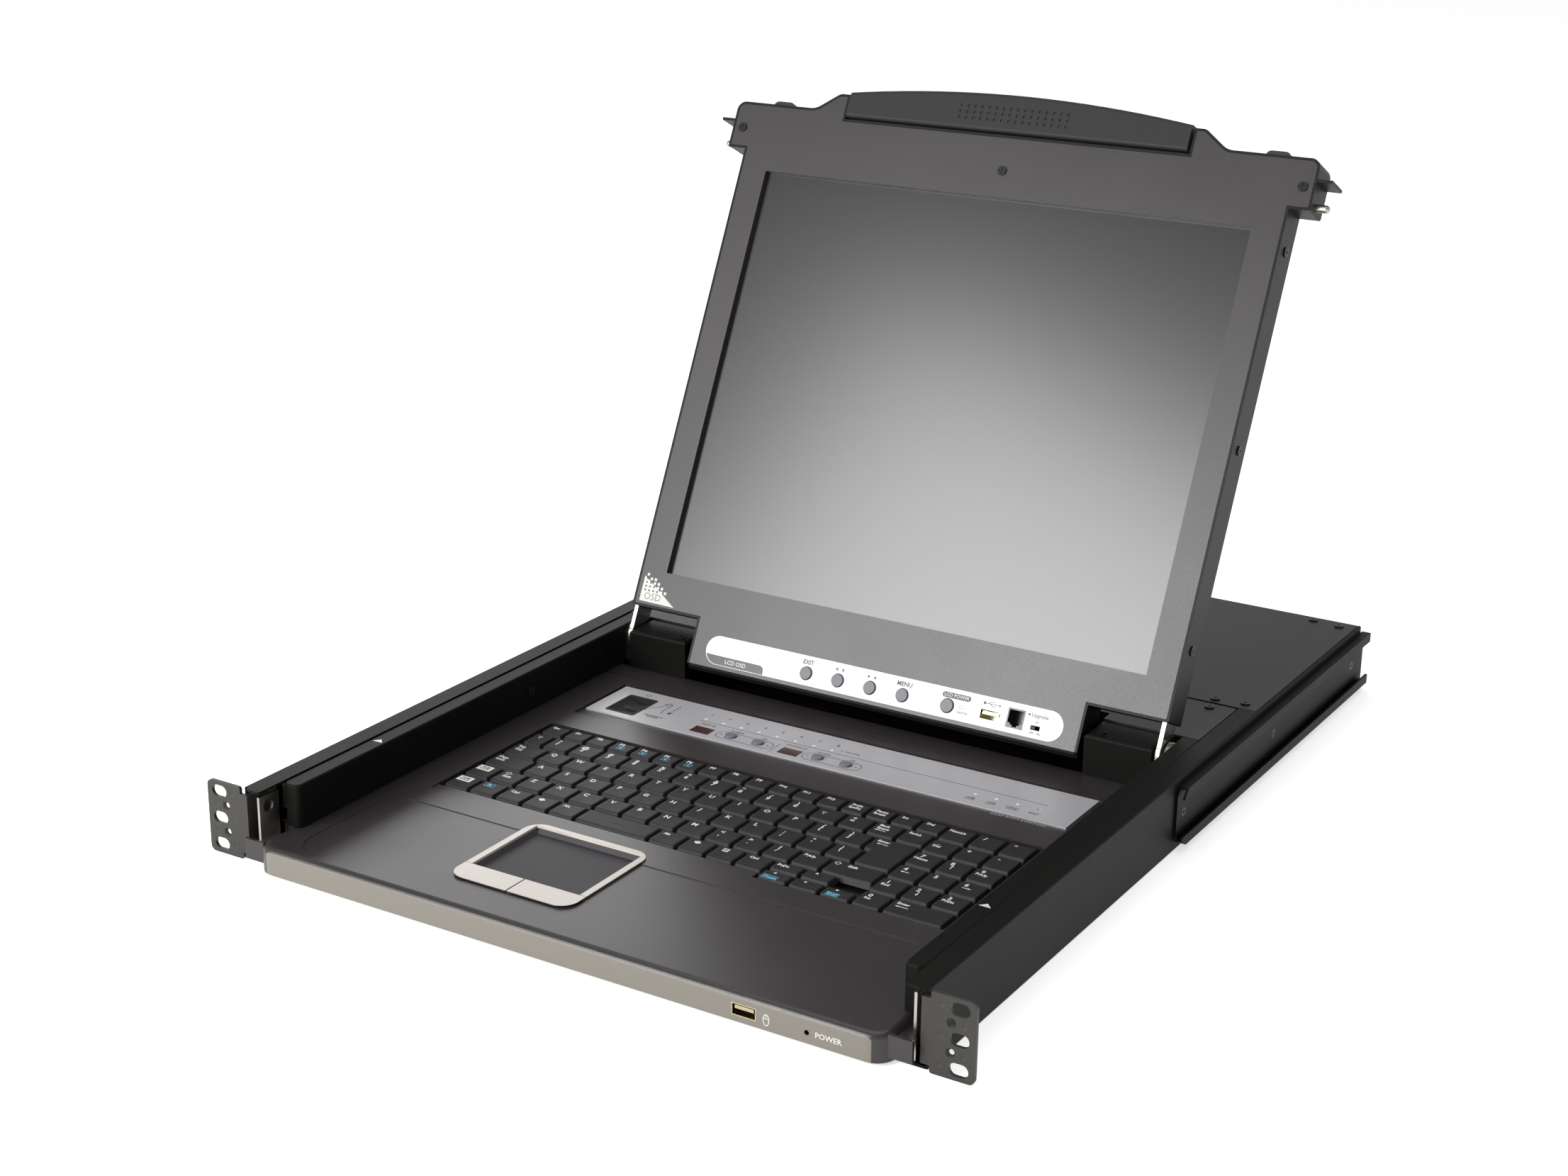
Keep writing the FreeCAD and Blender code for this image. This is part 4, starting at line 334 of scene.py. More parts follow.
def grow(name, tree, mesh, inputs, body):
    """Runs a tree over a mesh once, keeps the plain result and rides it on a body."""
    piece = bpy.data.objects.new(name, mesh)
    show(piece)
    build = piece.modifiers.new("build", "NODES")
    build.node_group = tree
    for item in tree.interface.items_tree:
        if item.in_out == "INPUT" and item.name in inputs:
            build[item.identifier] = inputs[item.name]
    graph = bpy.context.evaluated_depsgraph_get()
    made = bpy.data.meshes.new_from_object(piece.evaluated_get(graph), depsgraph=graph)
    piece.modifiers.remove(build)
    piece.data = made
    made.name = name
    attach(piece, body)
    return piece


def marks(name, places):
    """A mesh of bare points, each with the direction that its copy faces."""
    mesh = bpy.data.meshes.new(name)
    mesh.from_pydata([place for place, facing in places], [], [])
    direction = mesh.attributes.new("facing", "FLOAT_VECTOR", "POINT")
    for i, (place, facing) in enumerate(places):
        direction.data[i].vector = facing
    return mesh


def hidden(name, form):
    """Keeps a form as an object outside the scene, for a tree to copy."""
    mesh = bpy.data.meshes.new(name)
    form.to_mesh(mesh)
    form.free()
    return bpy.data.objects.new(name, mesh)


def on_marks(points, part):
    """Stands a copy of a part on each mark, turned to face the mark's way."""
    facing = points.node(
        "GeometryNodeInputNamedAttribute", {"data_type": "FLOAT_VECTOR"}, {"Name": "facing"}
    )
    turn = points.node("FunctionNodeAlignRotationToVector", {"axis": "Z"}, {"Vector": facing})
    shape = points.node("GeometryNodeObjectInfo", {}, {"Object": part}, "Geometry")
    return points.node(
        "GeometryNodeInstanceOnPoints", {},
        {"Points": points, "Instance": shape, "Rotation": turn},
    )


near, far = RECESS_WIDTH / 2 * MM, RECESS_ARM / 2 * MM
quarter = [(near, -far), (near, -near), (far, -near)]
outline = []
for _ in range(4):
    outline += quarter
    quarter = [(-y, x) for x, y in quarter]
cross = bmesh.new()
prism(cross, outline, -RECESS_DEPTH * MM, RECESS_DEPTH * MM)
cross_tool = hidden("cross_tool", cross)

recess_tree, given = new_tree(
    "cross_recesses", [("Marks", "Object"), ("Tool", "Object"), ("Finish", "Material")]
)
places = given["Marks"].node("GeometryNodeObjectInfo", {}, {"Object": given["Marks"]}, "Geometry")
tools = on_marks(places, given["Tool"])
tools = tools.node("GeometryNodeRealizeInstances", {}, {"Geometry": tools})
cut = tools.node(
    "GeometryNodeMeshBoolean", {"operation": "DIFFERENCE"},
    {"Mesh 1": given["Geometry"], "Mesh 2": tools},
)
end_tree(recess_tree, cut, given["Finish"])

for node, body in (
    ("frame_screws", "frame"), ("carriage_screws", "display_carriage"),
    ("display_screws", "display"),
):
    form = whole(node)
    found = [head for head in map(head_of, islands(form)) if head]
    heads = bpy.data.objects.new(node + "_marks", marks(node + "_marks", found))
    solid = bpy.data.meshes.new(node + "_solid")
    form.to_mesh(solid)
    form.free()
    screws = grow(
        "crossed_" + node, recess_tree, solid,
        {"Marks": heads, "Tool": cross_tool, "Finish": screw_black}, body,
    )
    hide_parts(node)


# The cover over the fixed electronics behind the drawer: a flat folded sheet in a slightly
# warmer plum-grey coat, and the tie plate between the two walls of the carriage.

cover_grey = mottled(
    "cover_grey", tint(36, 32, 34), tint(52, 47, 49), 1300.0, 0.5, 0.35, specular=0.3
)
coat(cover_grey, "rear_cover", "tie_plate")


# The back wall's sockets: nine video-style shells with three rows of five pins, a mains
# inlet and a rocker switch, in plated steel and black plastic.

CONTACT_COLUMNS = 5
CONTACT_ROWS = 3
CONTACT_STEP = (2.3, 2.0)
CONTACT_RADII = (0.6, 0.36)
INSERT_HALF = (7.4, 3.1)
INSERT_SLANT = 1.4
INSERT_SPAN = (0.06, 0.4)
CONTACT_SPAN = (-0.1, -0.02)
CONTACT_SIDES = 12
SHELL_REACH = 2.0

moulded_black = mottled("moulded_black", tint(12, 12, 12), tint(24, 23, 23), 1800.0, 0.55, 0.4)
coat(moulded_black, "power_inlet", "power_switch", "fingerprint_reader")
socket_steel = drawn_steel(
    "socket_steel", tint(160, 158, 152), tint(206, 203, 196), 0.3, (60.0, 500.0, 900.0)
)
coat(socket_steel, "rear_sockets")
board_green, shader, place = new_finish("board_green", roughness=0.45, coat_weight=0.3)
weave = noise(place, 700.0, 2.0)
tracks = place.node(
    "ShaderNodeTexVoronoi", {"distance": "MANHATTAN"}, {"Vector": place, "Scale": 260.0}
)
feed(shader, base_color=mixed(weave * 0.3 + tracks * 0.7, tint(16, 58, 34), tint(34, 96, 54)))
coat(board_green, "switch_board")
coat(plated_steel, "power_supply")

contact_gold = drawn_steel(
    "contact_gold", tint(178, 138, 62), tint(226, 190, 110), 0.28, (600.0, 600.0, 600.0)
)


def set_piece(name, form, finish, body, stand=Matrix()):
    """Turns a form drawn in millimetres into a piece of the model that rides on a body."""
    mesh = bpy.data.meshes.new(name)
    form.to_mesh(mesh)
    form.free()
    mesh.transform(stand @ Matrix.Scale(MM, 4))
    mesh.materials.append(finish)
    piece = bpy.data.objects.new(name, mesh)
    show(piece)
    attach(piece, body)
    return piece


def ring_of(outer, inner, low, high, steps):
    """A short tube that stands on its own axis, in millimetres, as a part for a tree to copy."""
    form = bmesh.new()
    loops = []
    for i in range(steps):
        turn = 2 * math.pi * i / steps
        loops.append([
            form.verts.new((radius * math.cos(turn) * MM, radius * math.sin(turn) * MM, z * MM))
            for radius, z in ((outer, low), (outer, high), (inner, high), (inner, low))
        ])
    for i, loop in enumerate(loops):
        after = loops[(i + 1) % steps]
        for side in range(4):
            turned = (side + 1) % 4
            form.faces.new((loop[side], after[side], after[turned], loop[turned]))
    return form


copy_tree, given = new_tree("copies_on_marks", [("Part", "Object"), ("Finish", "Material")])
end_tree(copy_tree, on_marks(given["Geometry"], given["Part"]), given["Finish"])

inserts = bmesh.new()
spots = []
for group in islands(whole("rear_sockets")):
    mouth = max(corner.y for corner in group)
    shell = [corner for corner in group if corner.y > mouth - SHELL_REACH * MM]
    x = (min(corner.x for corner in shell) + max(corner.x for corner in shell)) / 2 / MM
    z = (min(corner.z for corner in shell) + max(corner.z for corner in shell)) / 2 / MM
    wide, high = INSERT_HALF
    prism(
        inserts,
        [(x - wide + INSERT_SLANT, z - high), (x + wide - INSERT_SLANT, z - high),
         (x + wide, z + high), (x - wide, z + high)],
        *INSERT_SPAN,
    )
    for column in range(CONTACT_COLUMNS):
        for row in range(CONTACT_ROWS):
            across = column - (CONTACT_COLUMNS - 1) / 2 + (row % 2 - 0.5) / 2
            up = row - (CONTACT_ROWS - 1) / 2
            spot = Vector((x + across * CONTACT_STEP[0], mouth / MM, z + up * CONTACT_STEP[1]))
            spots.append((spot * MM, (0, 1, 0)))
back_faces = Matrix.Translation((0, mouth, 0)) @ Matrix.Rotation(math.radians(90), 4, "X")
set_piece("socket_inserts", inserts, moulded_black, "frame", back_faces)
contact = hidden("contact", ring_of(*CONTACT_RADII, *CONTACT_SPAN, CONTACT_SIDES))
socket_contacts = grow(
    "socket_contacts", copy_tree, marks("socket_contacts", spots),
    {"Part": contact, "Finish": contact_gold}, "frame",
)


# The pull-out carriage walls carry a small light arrowhead on each top strip, screen printed,
# that points at where the rails lock.

PRINT = 0.03
ARROW_Y = 92.7
ARROW_LENGTH = 3.8
ARROW_WIDTH = 7.0

print_white = mottled("print_white", tint(206, 204, 198), tint(232, 230, 226), 1200.0, 0.5, 0.1)

wall_low, wall_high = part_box("right_carriage_wall")
strip_middle = (wall_low.x + wall_high.x) / 2 / MM
arrowheads = bmesh.new()
for side in (-1, 1):
    middle = side * strip_middle
    prism(
        arrowheads,
        [(middle - ARROW_WIDTH / 2, ARROW_Y), (middle + ARROW_WIDTH / 2, ARROW_Y),
         (middle, ARROW_Y + ARROW_LENGTH)],
        wall_high.z / MM - PRINT, wall_high.z / MM + PRINT,
    )
set_piece("wall_arrowheads", arrowheads, print_white, "display_carriage")


# The display: a folded steel shell behind a steel bezel plate, both in a fine charcoal coat
# with a soft sheen, that swings on two bright steel arms. The shell's coat is painted darker, as
# painted shade for its side that faces away from the lamps.

charcoal = mottled("charcoal", tint(42, 39, 40), tint(58, 54, 55), 1100.0, 0.34, 0.45)
coat(charcoal, "bezel_plate")
# Painted shade: the shell gets a darker copy of the charcoal coat, standing in for the shade on its
# side.
shell_black = mottled(
    "shell_black", tint(14, 13, 13), tint(28, 26, 27), 1300.0, 0.45, 0.35, specular=0.2
)
coat(shell_black, "display_shell")


# The screen: a matt anti-glare sheet over the panel. Its fine haze spreads reflections into
# soft clouds.

GLASS_ROUGHNESS = 0.24
GLASS_SHEEN = 0.06
GLASS_RELIEF = 0.1
GLASS_DEPTH = 0.02

screen_glass, shader, place = new_finish("screen_glass", specular_ior_level=0.7)
haze = noise(place, 2600.0, 1.0)
depth = noise(place, 5.0, 1.0)
feed(
    shader, base_color=mixed(haze * 0.5 + depth * 0.5, tint(28, 26, 27), tint(38, 35, 35)),
    roughness=(haze - 0.5) * GLASS_SHEEN + GLASS_ROUGHNESS,
    normal=bumped(haze, GLASS_RELIEF, GLASS_DEPTH),
)
coat(screen_glass, "screen_panel")


# The handle grip along the top: one moulding in soft-touch dark plastic, arched, with rows of
# small dimples for the thumb.

grip_soft = mottled(
    "grip_soft", tint(30, 29, 30), tint(44, 43, 44), 2200.0, 0.55, 0.25, specular=0.3
)
coat(grip_soft, "handle_grip")


# The catches: a thumb tab on each top corner in the handle's plastic, on a slider that carries
# a bright steel pin.

PIN_START = 180.5


def parted(finish, tone, rule):
    """Gives a finish another colour where a rule on object position says so."""
    tree = finish.node_tree
    shader = tree.nodes["Principled BSDF"]
    place = Signal(tree).node("ShaderNodeTexCoord", {}, {}, "Object")
    past = rule(*(
        place.node("ShaderNodeSeparateXYZ", {}, {"Vector": place}, axis) for axis in "XYZ"
    ))
    plain = Signal(tree, shader.inputs["Base Color"].links[0].from_socket)
    feed(shader, base_color=mixed(past, plain, tone))
    return shader, past


def beside(metal, plastic, rule):
    """A copy of a metal finish that turns into a plastic one where a rule says so."""
    finish = metal.copy()
    finish.name = metal.name + "_and_" + plastic.name
    black = plastic.node_tree.nodes["Mix"].inputs[7].default_value
    shader, past = parted(finish, tuple(black), rule)
    feed(shader, metallic=1.0 - past)
    return finish


coat(
    beside(
        plated_steel, grip_soft,
        lambda x, y, z: x.math("LESS_THAN", x.math("ABSOLUTE", x), PIN_START * MM),
    ),
    "left_catch", "right_catch",
)


# The control strip under the screen: a white moulded bar in a thin metal rim, with a grey tab,
# printed legends, and two sockets and a switch let into it.

LINE = 0.35
JACK_EDGE = 87.0
STRIP_TOP = 0.3
STRIP_Y = -41.6
STRIP_HALF = 9.3
STRIP_END = -126.1
STRIP_TRIM = 0.3
TAB_END = -81.6
BUTTON_ROW = -36.5
LETTER_SHARE = 0.7
BOLD = 0.12

strip_white = mottled("strip_white", tint(226, 226, 226), tint(244, 244, 244), 900.0, 0.32, 0.08)
coat(strip_white, "osd_strip")
print_grey = mottled("print_grey", tint(72, 69, 70), tint(92, 88, 88), 900.0, 0.5, 0.1)
button_satin = mottled(
    "button_satin", tint(82, 80, 86), tint(104, 102, 108), 1500.0, 0.42, 0.15, metallic=0.2
)


def lettering(form, words, x, y, height, along="CENTER", weight=0.04):
    """Adds printed words, centred on a point of a flat face, to a form in millimetres."""
    text = bpy.data.curves.new("lettering", "FONT")
    text.body = words
    text.size = height / LETTER_SHARE
    text.align_x = along
    text.align_y = "CENTER"
    text.extrude = PRINT
    text.offset = weight
    text.resolution_u = 2
    text.space_line = 0.85
    holder = bpy.data.objects.new("lettering", text)
    mesh = bpy.data.meshes.new_from_object(holder)
    mesh.transform(Matrix.Translation((x, y, 0)))
    form.from_mesh(mesh)
    bpy.data.objects.remove(holder)
    bpy.data.curves.remove(text)
    bpy.data.meshes.remove(mesh)


def printed(form, points):
    """Adds a flat printed shape with a drawn outline."""
    prism(form, points, -PRINT, PRINT)


def stroke(form, points, width, closed=False):
    """Adds a printed line of even width along a path."""
    count = len(points)
    edges = []
    for i, (x, y) in enumerate(points):
        before = points[i - 1] if closed or i else points[i]
        after = points[(i + 1) % count] if closed or i < count - 1 else points[i]
        run = Vector((after[0] - before[0], after[1] - before[1])).normalized() * width / 2
        edges.append(((x + run.y, y - run.x), (x - run.y, y + run.x)))
    rows = [
        [form.verts.new((x, y, z)) for (x, y), z in
         ((right, -PRINT), (right, PRINT), (left, PRINT), (left, -PRINT))]
        for right, left in edges
    ]
    for i in range(count if closed else count - 1):
        row, after = rows[i], rows[(i + 1) % count]
        for side in range(4):
            turned = (side + 1) % 4
            form.faces.new((row[side], after[side], after[turned], row[turned]))
    if not closed:
        form.faces.new(rows[0][::-1])
        form.faces.new(rows[-1])


def pill(x, y, length, height, steps=8):
    """The outline of a bar with round ends."""
    radius = height / 2
    points = []
    for side, start in ((1, -90), (-1, 90)):
        for i in range(steps + 1):
            angle = math.radians(start + 180 * i / steps)
            points.append((
                x + side * (length / 2 - radius) + radius * math.cos(angle),
                y + radius * math.sin(angle),
            ))
    return points


def triangle(x, y, size, turn):
    """An arrowhead outline that points along a direction given in degrees."""
    angles = [math.radians(turn + step) for step in (0, 130, 230)]
    return [(x + size * math.cos(angle), y + size * math.sin(angle)) for angle in angles]


def displaced(n):
    """The display's own plane, a given height in millimetres in front of the bezel."""
    return DISPLAY_STAND @ Matrix.Translation((0, 0, n * MM))


dark = bmesh.new()
lettering(dark, "EXIT", -51.0, BUTTON_ROW + 0.1, 2.7, weight=BOLD)
lettering(dark, "MENU", 17.8, BUTTON_ROW + 0.1, 2.7, weight=BOLD)
for x, turn in ((-30.3, 180), (-25.9, 270), (-7.4, 0), (-3.0, 90)):
    printed(dark, triangle(x, BUTTON_ROW, 1.25, turn))
printed(dark, pill(53.9, -36.6, 19.4, 3.4))
lettering(dark, "Stand by", 59.5, -45.6, 1.5)
stroke(dark, pill(58.3, -42.3, 2.4, 2.4), 0.25, closed=True)
lettering(dark, "Upgrade", 104.4, -37.3, 2.3, "LEFT")
printed(dark, triangle(102.9, -37.3, 1.2, 180))
stroke(dark, [(73.0, BUTTON_ROW), (82.2, BUTTON_ROW)], LINE)
printed(dark, pill(73.0, BUTTON_ROW, 1.8, 1.8))
printed(dark, triangle(83.2, BUTTON_ROW, 1.0, 0))
stroke(dark, [(75.5, BUTTON_ROW), (77.3, -35.2), (79.6, -35.2)], LINE)
stroke(dark, [(76.5, BUTTON_ROW), (78.3, -37.8), (80.4, -37.8)], LINE)
lettering(dark, "UP", 108.8, -41.3, 1.3)
lettering(dark, "OFF   ON", 108.8, -48.0, 1.3)
set_piece("strip_legends", dark, print_grey, "display", displaced(STRIP_TOP))

tab = bmesh.new()
edge = [
    (STRIP_END + STRIP_HALF * (1 - math.cos(turn)) + STRIP_TRIM,
     STRIP_Y - STRIP_HALF * math.sin(turn) + STRIP_TRIM)
    for turn in (math.radians(angle) for angle in range(22, 91, 8))
]
edge += [
    (TAB_END, STRIP_Y - STRIP_HALF + STRIP_TRIM), (TAB_END, -48.2), (-82.0, -46.6), (-83.2, -45.6),
    (-84.6, -45.1),
]
printed(tab, edge)
set_piece("strip_tab", tab, charcoal, "display", displaced(STRIP_TOP))

pale = bmesh.new()
lettering(pale, "LCD OSD", -102.5, -47.9, 2.6, weight=0.05)
lettering(pale, "LCD POWER", 53.9, -36.6, 2.1, weight=0.05)
set_piece("strip_pale_legends", pale, print_white, "display", displaced(STRIP_TOP + 0.02))
coat(button_satin, "osd_button_1", "osd_button_2", "osd_button_3", "osd_button_4",
     "display_power_button")
coat(moulded_black, "osd_slide_switch")
socket_nickel = drawn_steel(
    "socket_nickel", tint(146, 132, 98), tint(206, 196, 168), 0.26, (300.0, 300.0, 300.0)
)
coat(
    beside(socket_nickel, moulded_black, lambda x, y, z: x.math("GREATER_THAN", x, JACK_EDGE * MM)),
    "osd_sockets",
)


# The corner label on the bezel: a white triangle of thin film whose slanting edge breaks up
# into small squares, with dark dots and outlined letters inside.

LABEL_CORNERS = [(-184.4, -4.4), (-184.6, -20.9), (-157.5, -21.3)]
TILE_FIRST = (-182.0, -3.3)
TILE_STEP = (3.12, -2.55)
PALE_TILE = (1.8, -0.02, 0.04)
DARK_TILE = (1.2, 0.0, 0.06)
TILES_OUTSIDE = [(0, 0), (1, 1), (2, 1), (2, 2), (3, 2), (3, 3), (4, 3), (4, 4), (5, 4)]


def rectangle(x, y, width, height):
    """The corners of an upright rectangle round a point."""
    return [(x - width / 2, y - height / 2), (x + width / 2, y - height / 2),
            (x + width / 2, y + height / 2), (x - width / 2, y + height / 2)]


def tile_marks(cells):
    """Marks on the bezel's face for the cells of the label's grid."""
    facing = DISPLAY_STAND.to_3x3() @ Vector((0, 0, 1))
    places = []
    for column, row in cells:
        x = TILE_FIRST[0] + column * TILE_STEP[0]
        y = TILE_FIRST[1] + row * TILE_STEP[1]
        places.append((DISPLAY_STAND @ Vector((x * MM, y * MM, 0)), facing))
    return marks("label_tiles", places)


def tile(size, low, high):
    """A small flat square for a tree to copy."""
    form = bmesh.new()
    prism(form, rectangle(0, 0, size * MM, size * MM), low * MM, high * MM)
    return hidden("tile", form)


label = bmesh.new()
printed(label, LABEL_CORNERS)
set_piece("corner_label", label, print_white, "display", displaced(0.0))
inside = [(column, row) for column in range(4) for row in range(column + 1, 5)]
for name, cells, part, ink in (
    ("label_squares", TILES_OUTSIDE, PALE_TILE, print_white),
    ("label_dots", inside, DARK_TILE, charcoal),
):
    made = grow(
        name, copy_tree, tile_marks(cells), {"Part": tile(*part), "Finish": ink}, "display"
    )
letters = bmesh.new()
lettering(letters, "OSD", -175.2, -17.5, 4.6, weight=-0.1)
set_piece("label_letters", letters, print_grey, "display", displaced(0.03))


# The keyboard module: a moulded deck in dark brown-black plastic with a wrist area let into
# it and a rounded lip along the front edge. Its front face is the same plastic, painted paler as
# painted light from the low soft box in front.

# How far back from the front, and in what colour, the painted light on the deck's front face
# reaches.
PAINTED_LIGHT_REACH = 0.4
PAINTED_FRONT_LIGHT = tint(126, 121, 111)
SIGN_X = 132.4
POWER_Y = -14.2

deck_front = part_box("keyboard_deck")[0].y
deck_brown = mottled("deck_brown", tint(38, 34, 35), tint(54, 49, 50), 900.0, 0.33, 0.4)
# Painted light: the deck's own front face is given a paler grey where the soft box in front falls
# on it.
parted(deck_brown, PAINTED_FRONT_LIGHT, lambda x, y, z: y.math("LESS_THAN", y, deck_front + PAINTED_LIGHT_REACH * MM))
coat(deck_brown, "keyboard_deck")
coat(moulded_black, "key_plate")
coat(socket_nickel, "front_usb_socket")

front_face = Matrix.Translation((0, deck_front, 0)) @ Matrix.Rotation(math.radians(90), 4, "X")
front = bmesh.new()
lettering(front, "POWER", 167.5, POWER_Y, 3.0, weight=0.06)
sign = [(x * 0.55 + SIGN_X, y + POWER_Y - 0.1) for x, y in pill(0, 0, 6.0, 6.0, 12)]
stroke(front, sign, 0.45, closed=True)
stroke(front, [(SIGN_X, -11.6), (SIGN_X, -13.6)], 0.4)
stroke(front, [(SIGN_X - 1.5, -13.6), (SIGN_X + 1.5, -13.6)], 0.35)
set_piece("front_legends", front, print_white, "keyboard", front_face)


# The status panel: a thin sheet of satin aluminium let into the deck behind the keys, printed
# in black, with milky light lenses, dark number windows and grey buttons.

PANEL_Z = -4.9
LENS_RADIUS = 1.35
LENS_RISE = 0.5
LENS_SUNK = 0.35
PORT_LIGHTS = [(-92.7 + 13.0 * i, 280.0) for i in range(8)]
LOCK_LIGHTS = [(101.3 + 13.6 * i, 269.0) for i in range(3)]
WINDOW_Y = 263.7
WINDOW_SIZE = (13.6, 9.8)
WINDOW_SPAN = (PANEL_Z - 0.55, PANEL_Z - 0.2)
DECK_PRINT_Z = -4.5
RULE_Y = 276.3
WORDS_Y = 272.1
BUTTONS_Y = 264.3
FRAME_LINE = 0.45

panel_satin = mottled(
    "panel_satin", tint(176, 174, 178), tint(196, 194, 198), 1400.0, 0.36, 0.1, metallic=0.25
)
coat(panel_satin, "led_panel")
button_grey = mottled("button_grey", tint(104, 103, 112), tint(122, 121, 130), 1500.0, 0.4, 0.15)
coat(button_grey, "panel_button_1", "panel_button_2", "panel_button_3", "panel_button_4")
lens_milk = mottled("lens_milk", tint(222, 222, 224), tint(240, 240, 242), 500.0, 0.3, 0.05)
print_black = mottled("print_black", tint(34, 33, 36), tint(50, 49, 52), 900.0, 0.5, 0.1)

lens_tree, given = new_tree(
    "light_lenses", [("Radius", "Float"), ("Rise", "Float"), ("Finish", "Material")]
)
dome = given["Radius"].node(
    "GeometryNodeMeshUVSphere", {}, {"Segments": 20, "Rings": 10, "Radius": 1.0}, "Mesh"
)
dome = dome.node("GeometryNodeSetShadeSmooth", {}, {"Geometry": dome})
size = dome.node(
    "ShaderNodeCombineXYZ", {}, {0: given["Radius"], 1: given["Radius"], 2: given["Rise"]}
)
lenses = dome.node(
    "GeometryNodeInstanceOnPoints", {},
    {"Points": given["Geometry"], "Instance": dome, "Scale": size},
)
end_tree(lens_tree, lenses, given["Finish"])
lights = [
    ((x * MM, y * MM, (PANEL_Z - LENS_SUNK) * MM), (0, 0, 1)) for x, y in PORT_LIGHTS + LOCK_LIGHTS
]
panel_lenses = grow(
    "panel_lenses", lens_tree, marks("panel_lenses", lights),
    {"Radius": LENS_RADIUS * MM, "Rise": LENS_RISE * MM, "Finish": lens_milk}, "keyboard",
)

window_dark = mottled("window_dark", tint(52, 34, 30), tint(78, 56, 50), 60.0, 0.12, 0.0)
windows = bmesh.new()
for x in (-84.8, -21.6):
    prism(windows, rectangle(x, WINDOW_Y, *WINDOW_SIZE), *WINDOW_SPAN)
set_piece("number_windows", windows, window_dark, "keyboard")

legends = bmesh.new()
for i, (x, y) in enumerate(PORT_LIGHTS):
    lettering(legends, str(i + 1), x, y + 7.3, 2.6)
stroke(legends, [(-94.5, RULE_Y), (144.4, RULE_Y)], 0.4)
lettering(legends, "ON LINE", 11.5, 281.6, 1.8)
printed(legends, triangle(4.0, 281.6, 0.9, 180))
for words, x in (("PORT ID", -85.4), ("STATION ID", -22.1)):
    lettering(legends, words, x, WORDS_Y + 0.2, 1.9)
for x in (-64.5, -2.8):
    lettering(legends, "DOWN", x, WORDS_Y, 1.9)
    lettering(legends, "UP", x + 19.6, WORDS_Y, 1.9)
    stroke(legends, pill(x + 9.8, BUTTONS_Y, 40.0, 10.4), FRAME_LINE, closed=True)
    printed(legends, triangle(x - 7.0, BUTTONS_Y, 1.0, 180))
    printed(legends, triangle(x + 26.6, BUTTONS_Y, 1.0, 0))
stroke(legends, [(-32.8, 270.0), (-32.8, 257.5)], FRAME_LINE)
for words, (x, y) in zip(("NUM", "CAPS", "SCROLL"), LOCK_LIGHTS):
    lettering(legends, words + "\nLOCK", x, y - 7.4, 1.7)
lettering(legends, "RESET", 142.1, 261.8, 1.7)
stroke(legends, pill(-144.5, 292.8, 3.6, 2.6), 0.4, closed=True)
finger = [
    (-134.0, 271.0), (-133.0, 275.0), (-129.0, 279.0), (-127.0, 283.0), (-127.0, 287.0),
    (-124.8, 289.0), (-122.4, 287.2), (-122.2, 282.0), (-122.8, 277.0), (-121.5, 272.0),
]
stroke(legends, finger, 0.5)
stroke(legends, pill(-124.7, 285.8, 2.6, 4.0), 0.35, closed=True)
for y in (287.8, 284.8, 281.8, 278.8):
    stroke(legends, [(-116.8, y), (-116.8, y - 1.7)], 0.8)
printed(legends, triangle(-116.8, 274.6, 2.2, 270))
lettering(legends, "FINGERPRINT\nREADER", -122.7, 265.0, 1.6)

print_dim = mottled("print_dim", tint(138, 136, 132), tint(160, 158, 154), 900.0, 0.5, 0.1)
system_name = bmesh.new()
lettering(system_name, "LCD KVM SWITCH", 138.7, 249.0, 2.9)
deck_print = Matrix.Translation((0, 0, DECK_PRINT_Z * MM))
panel_print = Matrix.Translation((0, 0, PANEL_Z * MM))
set_piece("system_name", system_name, print_dim, "keyboard", deck_print)
set_piece("panel_legends", legends, print_black, "keyboard", panel_print)


# The touchpad: a matt dark sheet at the bottom of a moulded well, in a bright satin surround
# whose front strip is split into two click buttons.

RIM_EDGE = -4.4

rim_bright = drawn_steel(
    "rim_bright", tint(158, 153, 147), tint(194, 189, 183), 0.36, (60.0, 900.0, 900.0)
)
coat(rim_bright, "touchpad_left_button", "touchpad_right_button")
pad_dark = mottled(
    "pad_dark", tint(36, 34, 38), tint(50, 47, 51), 1500.0, 0.5, 0.2, specular=0.25
)
coat(pad_dark, "touchpad")
coat(
    beside(rim_bright, pad_dark, lambda x, y, z: z.math("LESS_THAN", z, RIM_EDGE * MM)),
    "touchpad_ring",
)


# The keys: scissor keys in dark plastic with shallow dished tops, sides that lean in and a
# longer slope at the front, pressed on from above.

KEY_LEFT = -166.8
KEY_PITCH = 18.76
KEY_REAR = 220.9
ROW_DEPTHS = [15.1] + [18.75] * 5
PAD_PITCH = 18.6
PAD_ROW_DEPTH = 19.2
MAIN_UNITS = 14.78
SPACE_LEFT = 4.97
SPACE_UNITS = 2.68
RIGHT_UNITS = [1.02, 1, 1, 1]
TAB_UNITS = 1.27
CAPS_UNITS = 1.51
KEY_GAP = 0.45
KEY_Z = -4.6
KEY_HEIGHT = 4.0
KEY_DISH = 0.3
SIDE_LEAN = 0.9
FRONT_LEAN = 1.9
SIDE_STEPS = 6
CAP_ROUND = 0.9
CREASE = 40

key_dark = mottled(
    "key_dark", tint(30, 29, 31), tint(42, 40, 43), 1900.0, 0.5, 0.35, specular=0.22
)


def box_corners(left, right, front, rear):
    """The corners of a plain key, each with the sides that meet there."""
    return [(left, front, 1, 1), (right, front, -1, 1), (right, rear, -1, -1), (left, rear, 1, -1)]


def corner_box(corners):
    """The left, right, front and rear edges of a key's whole outline."""
    xs = [corner[0] for corner in corners]
    ys = [corner[1] for corner in corners]
    return min(xs), max(xs), min(ys), max(ys)


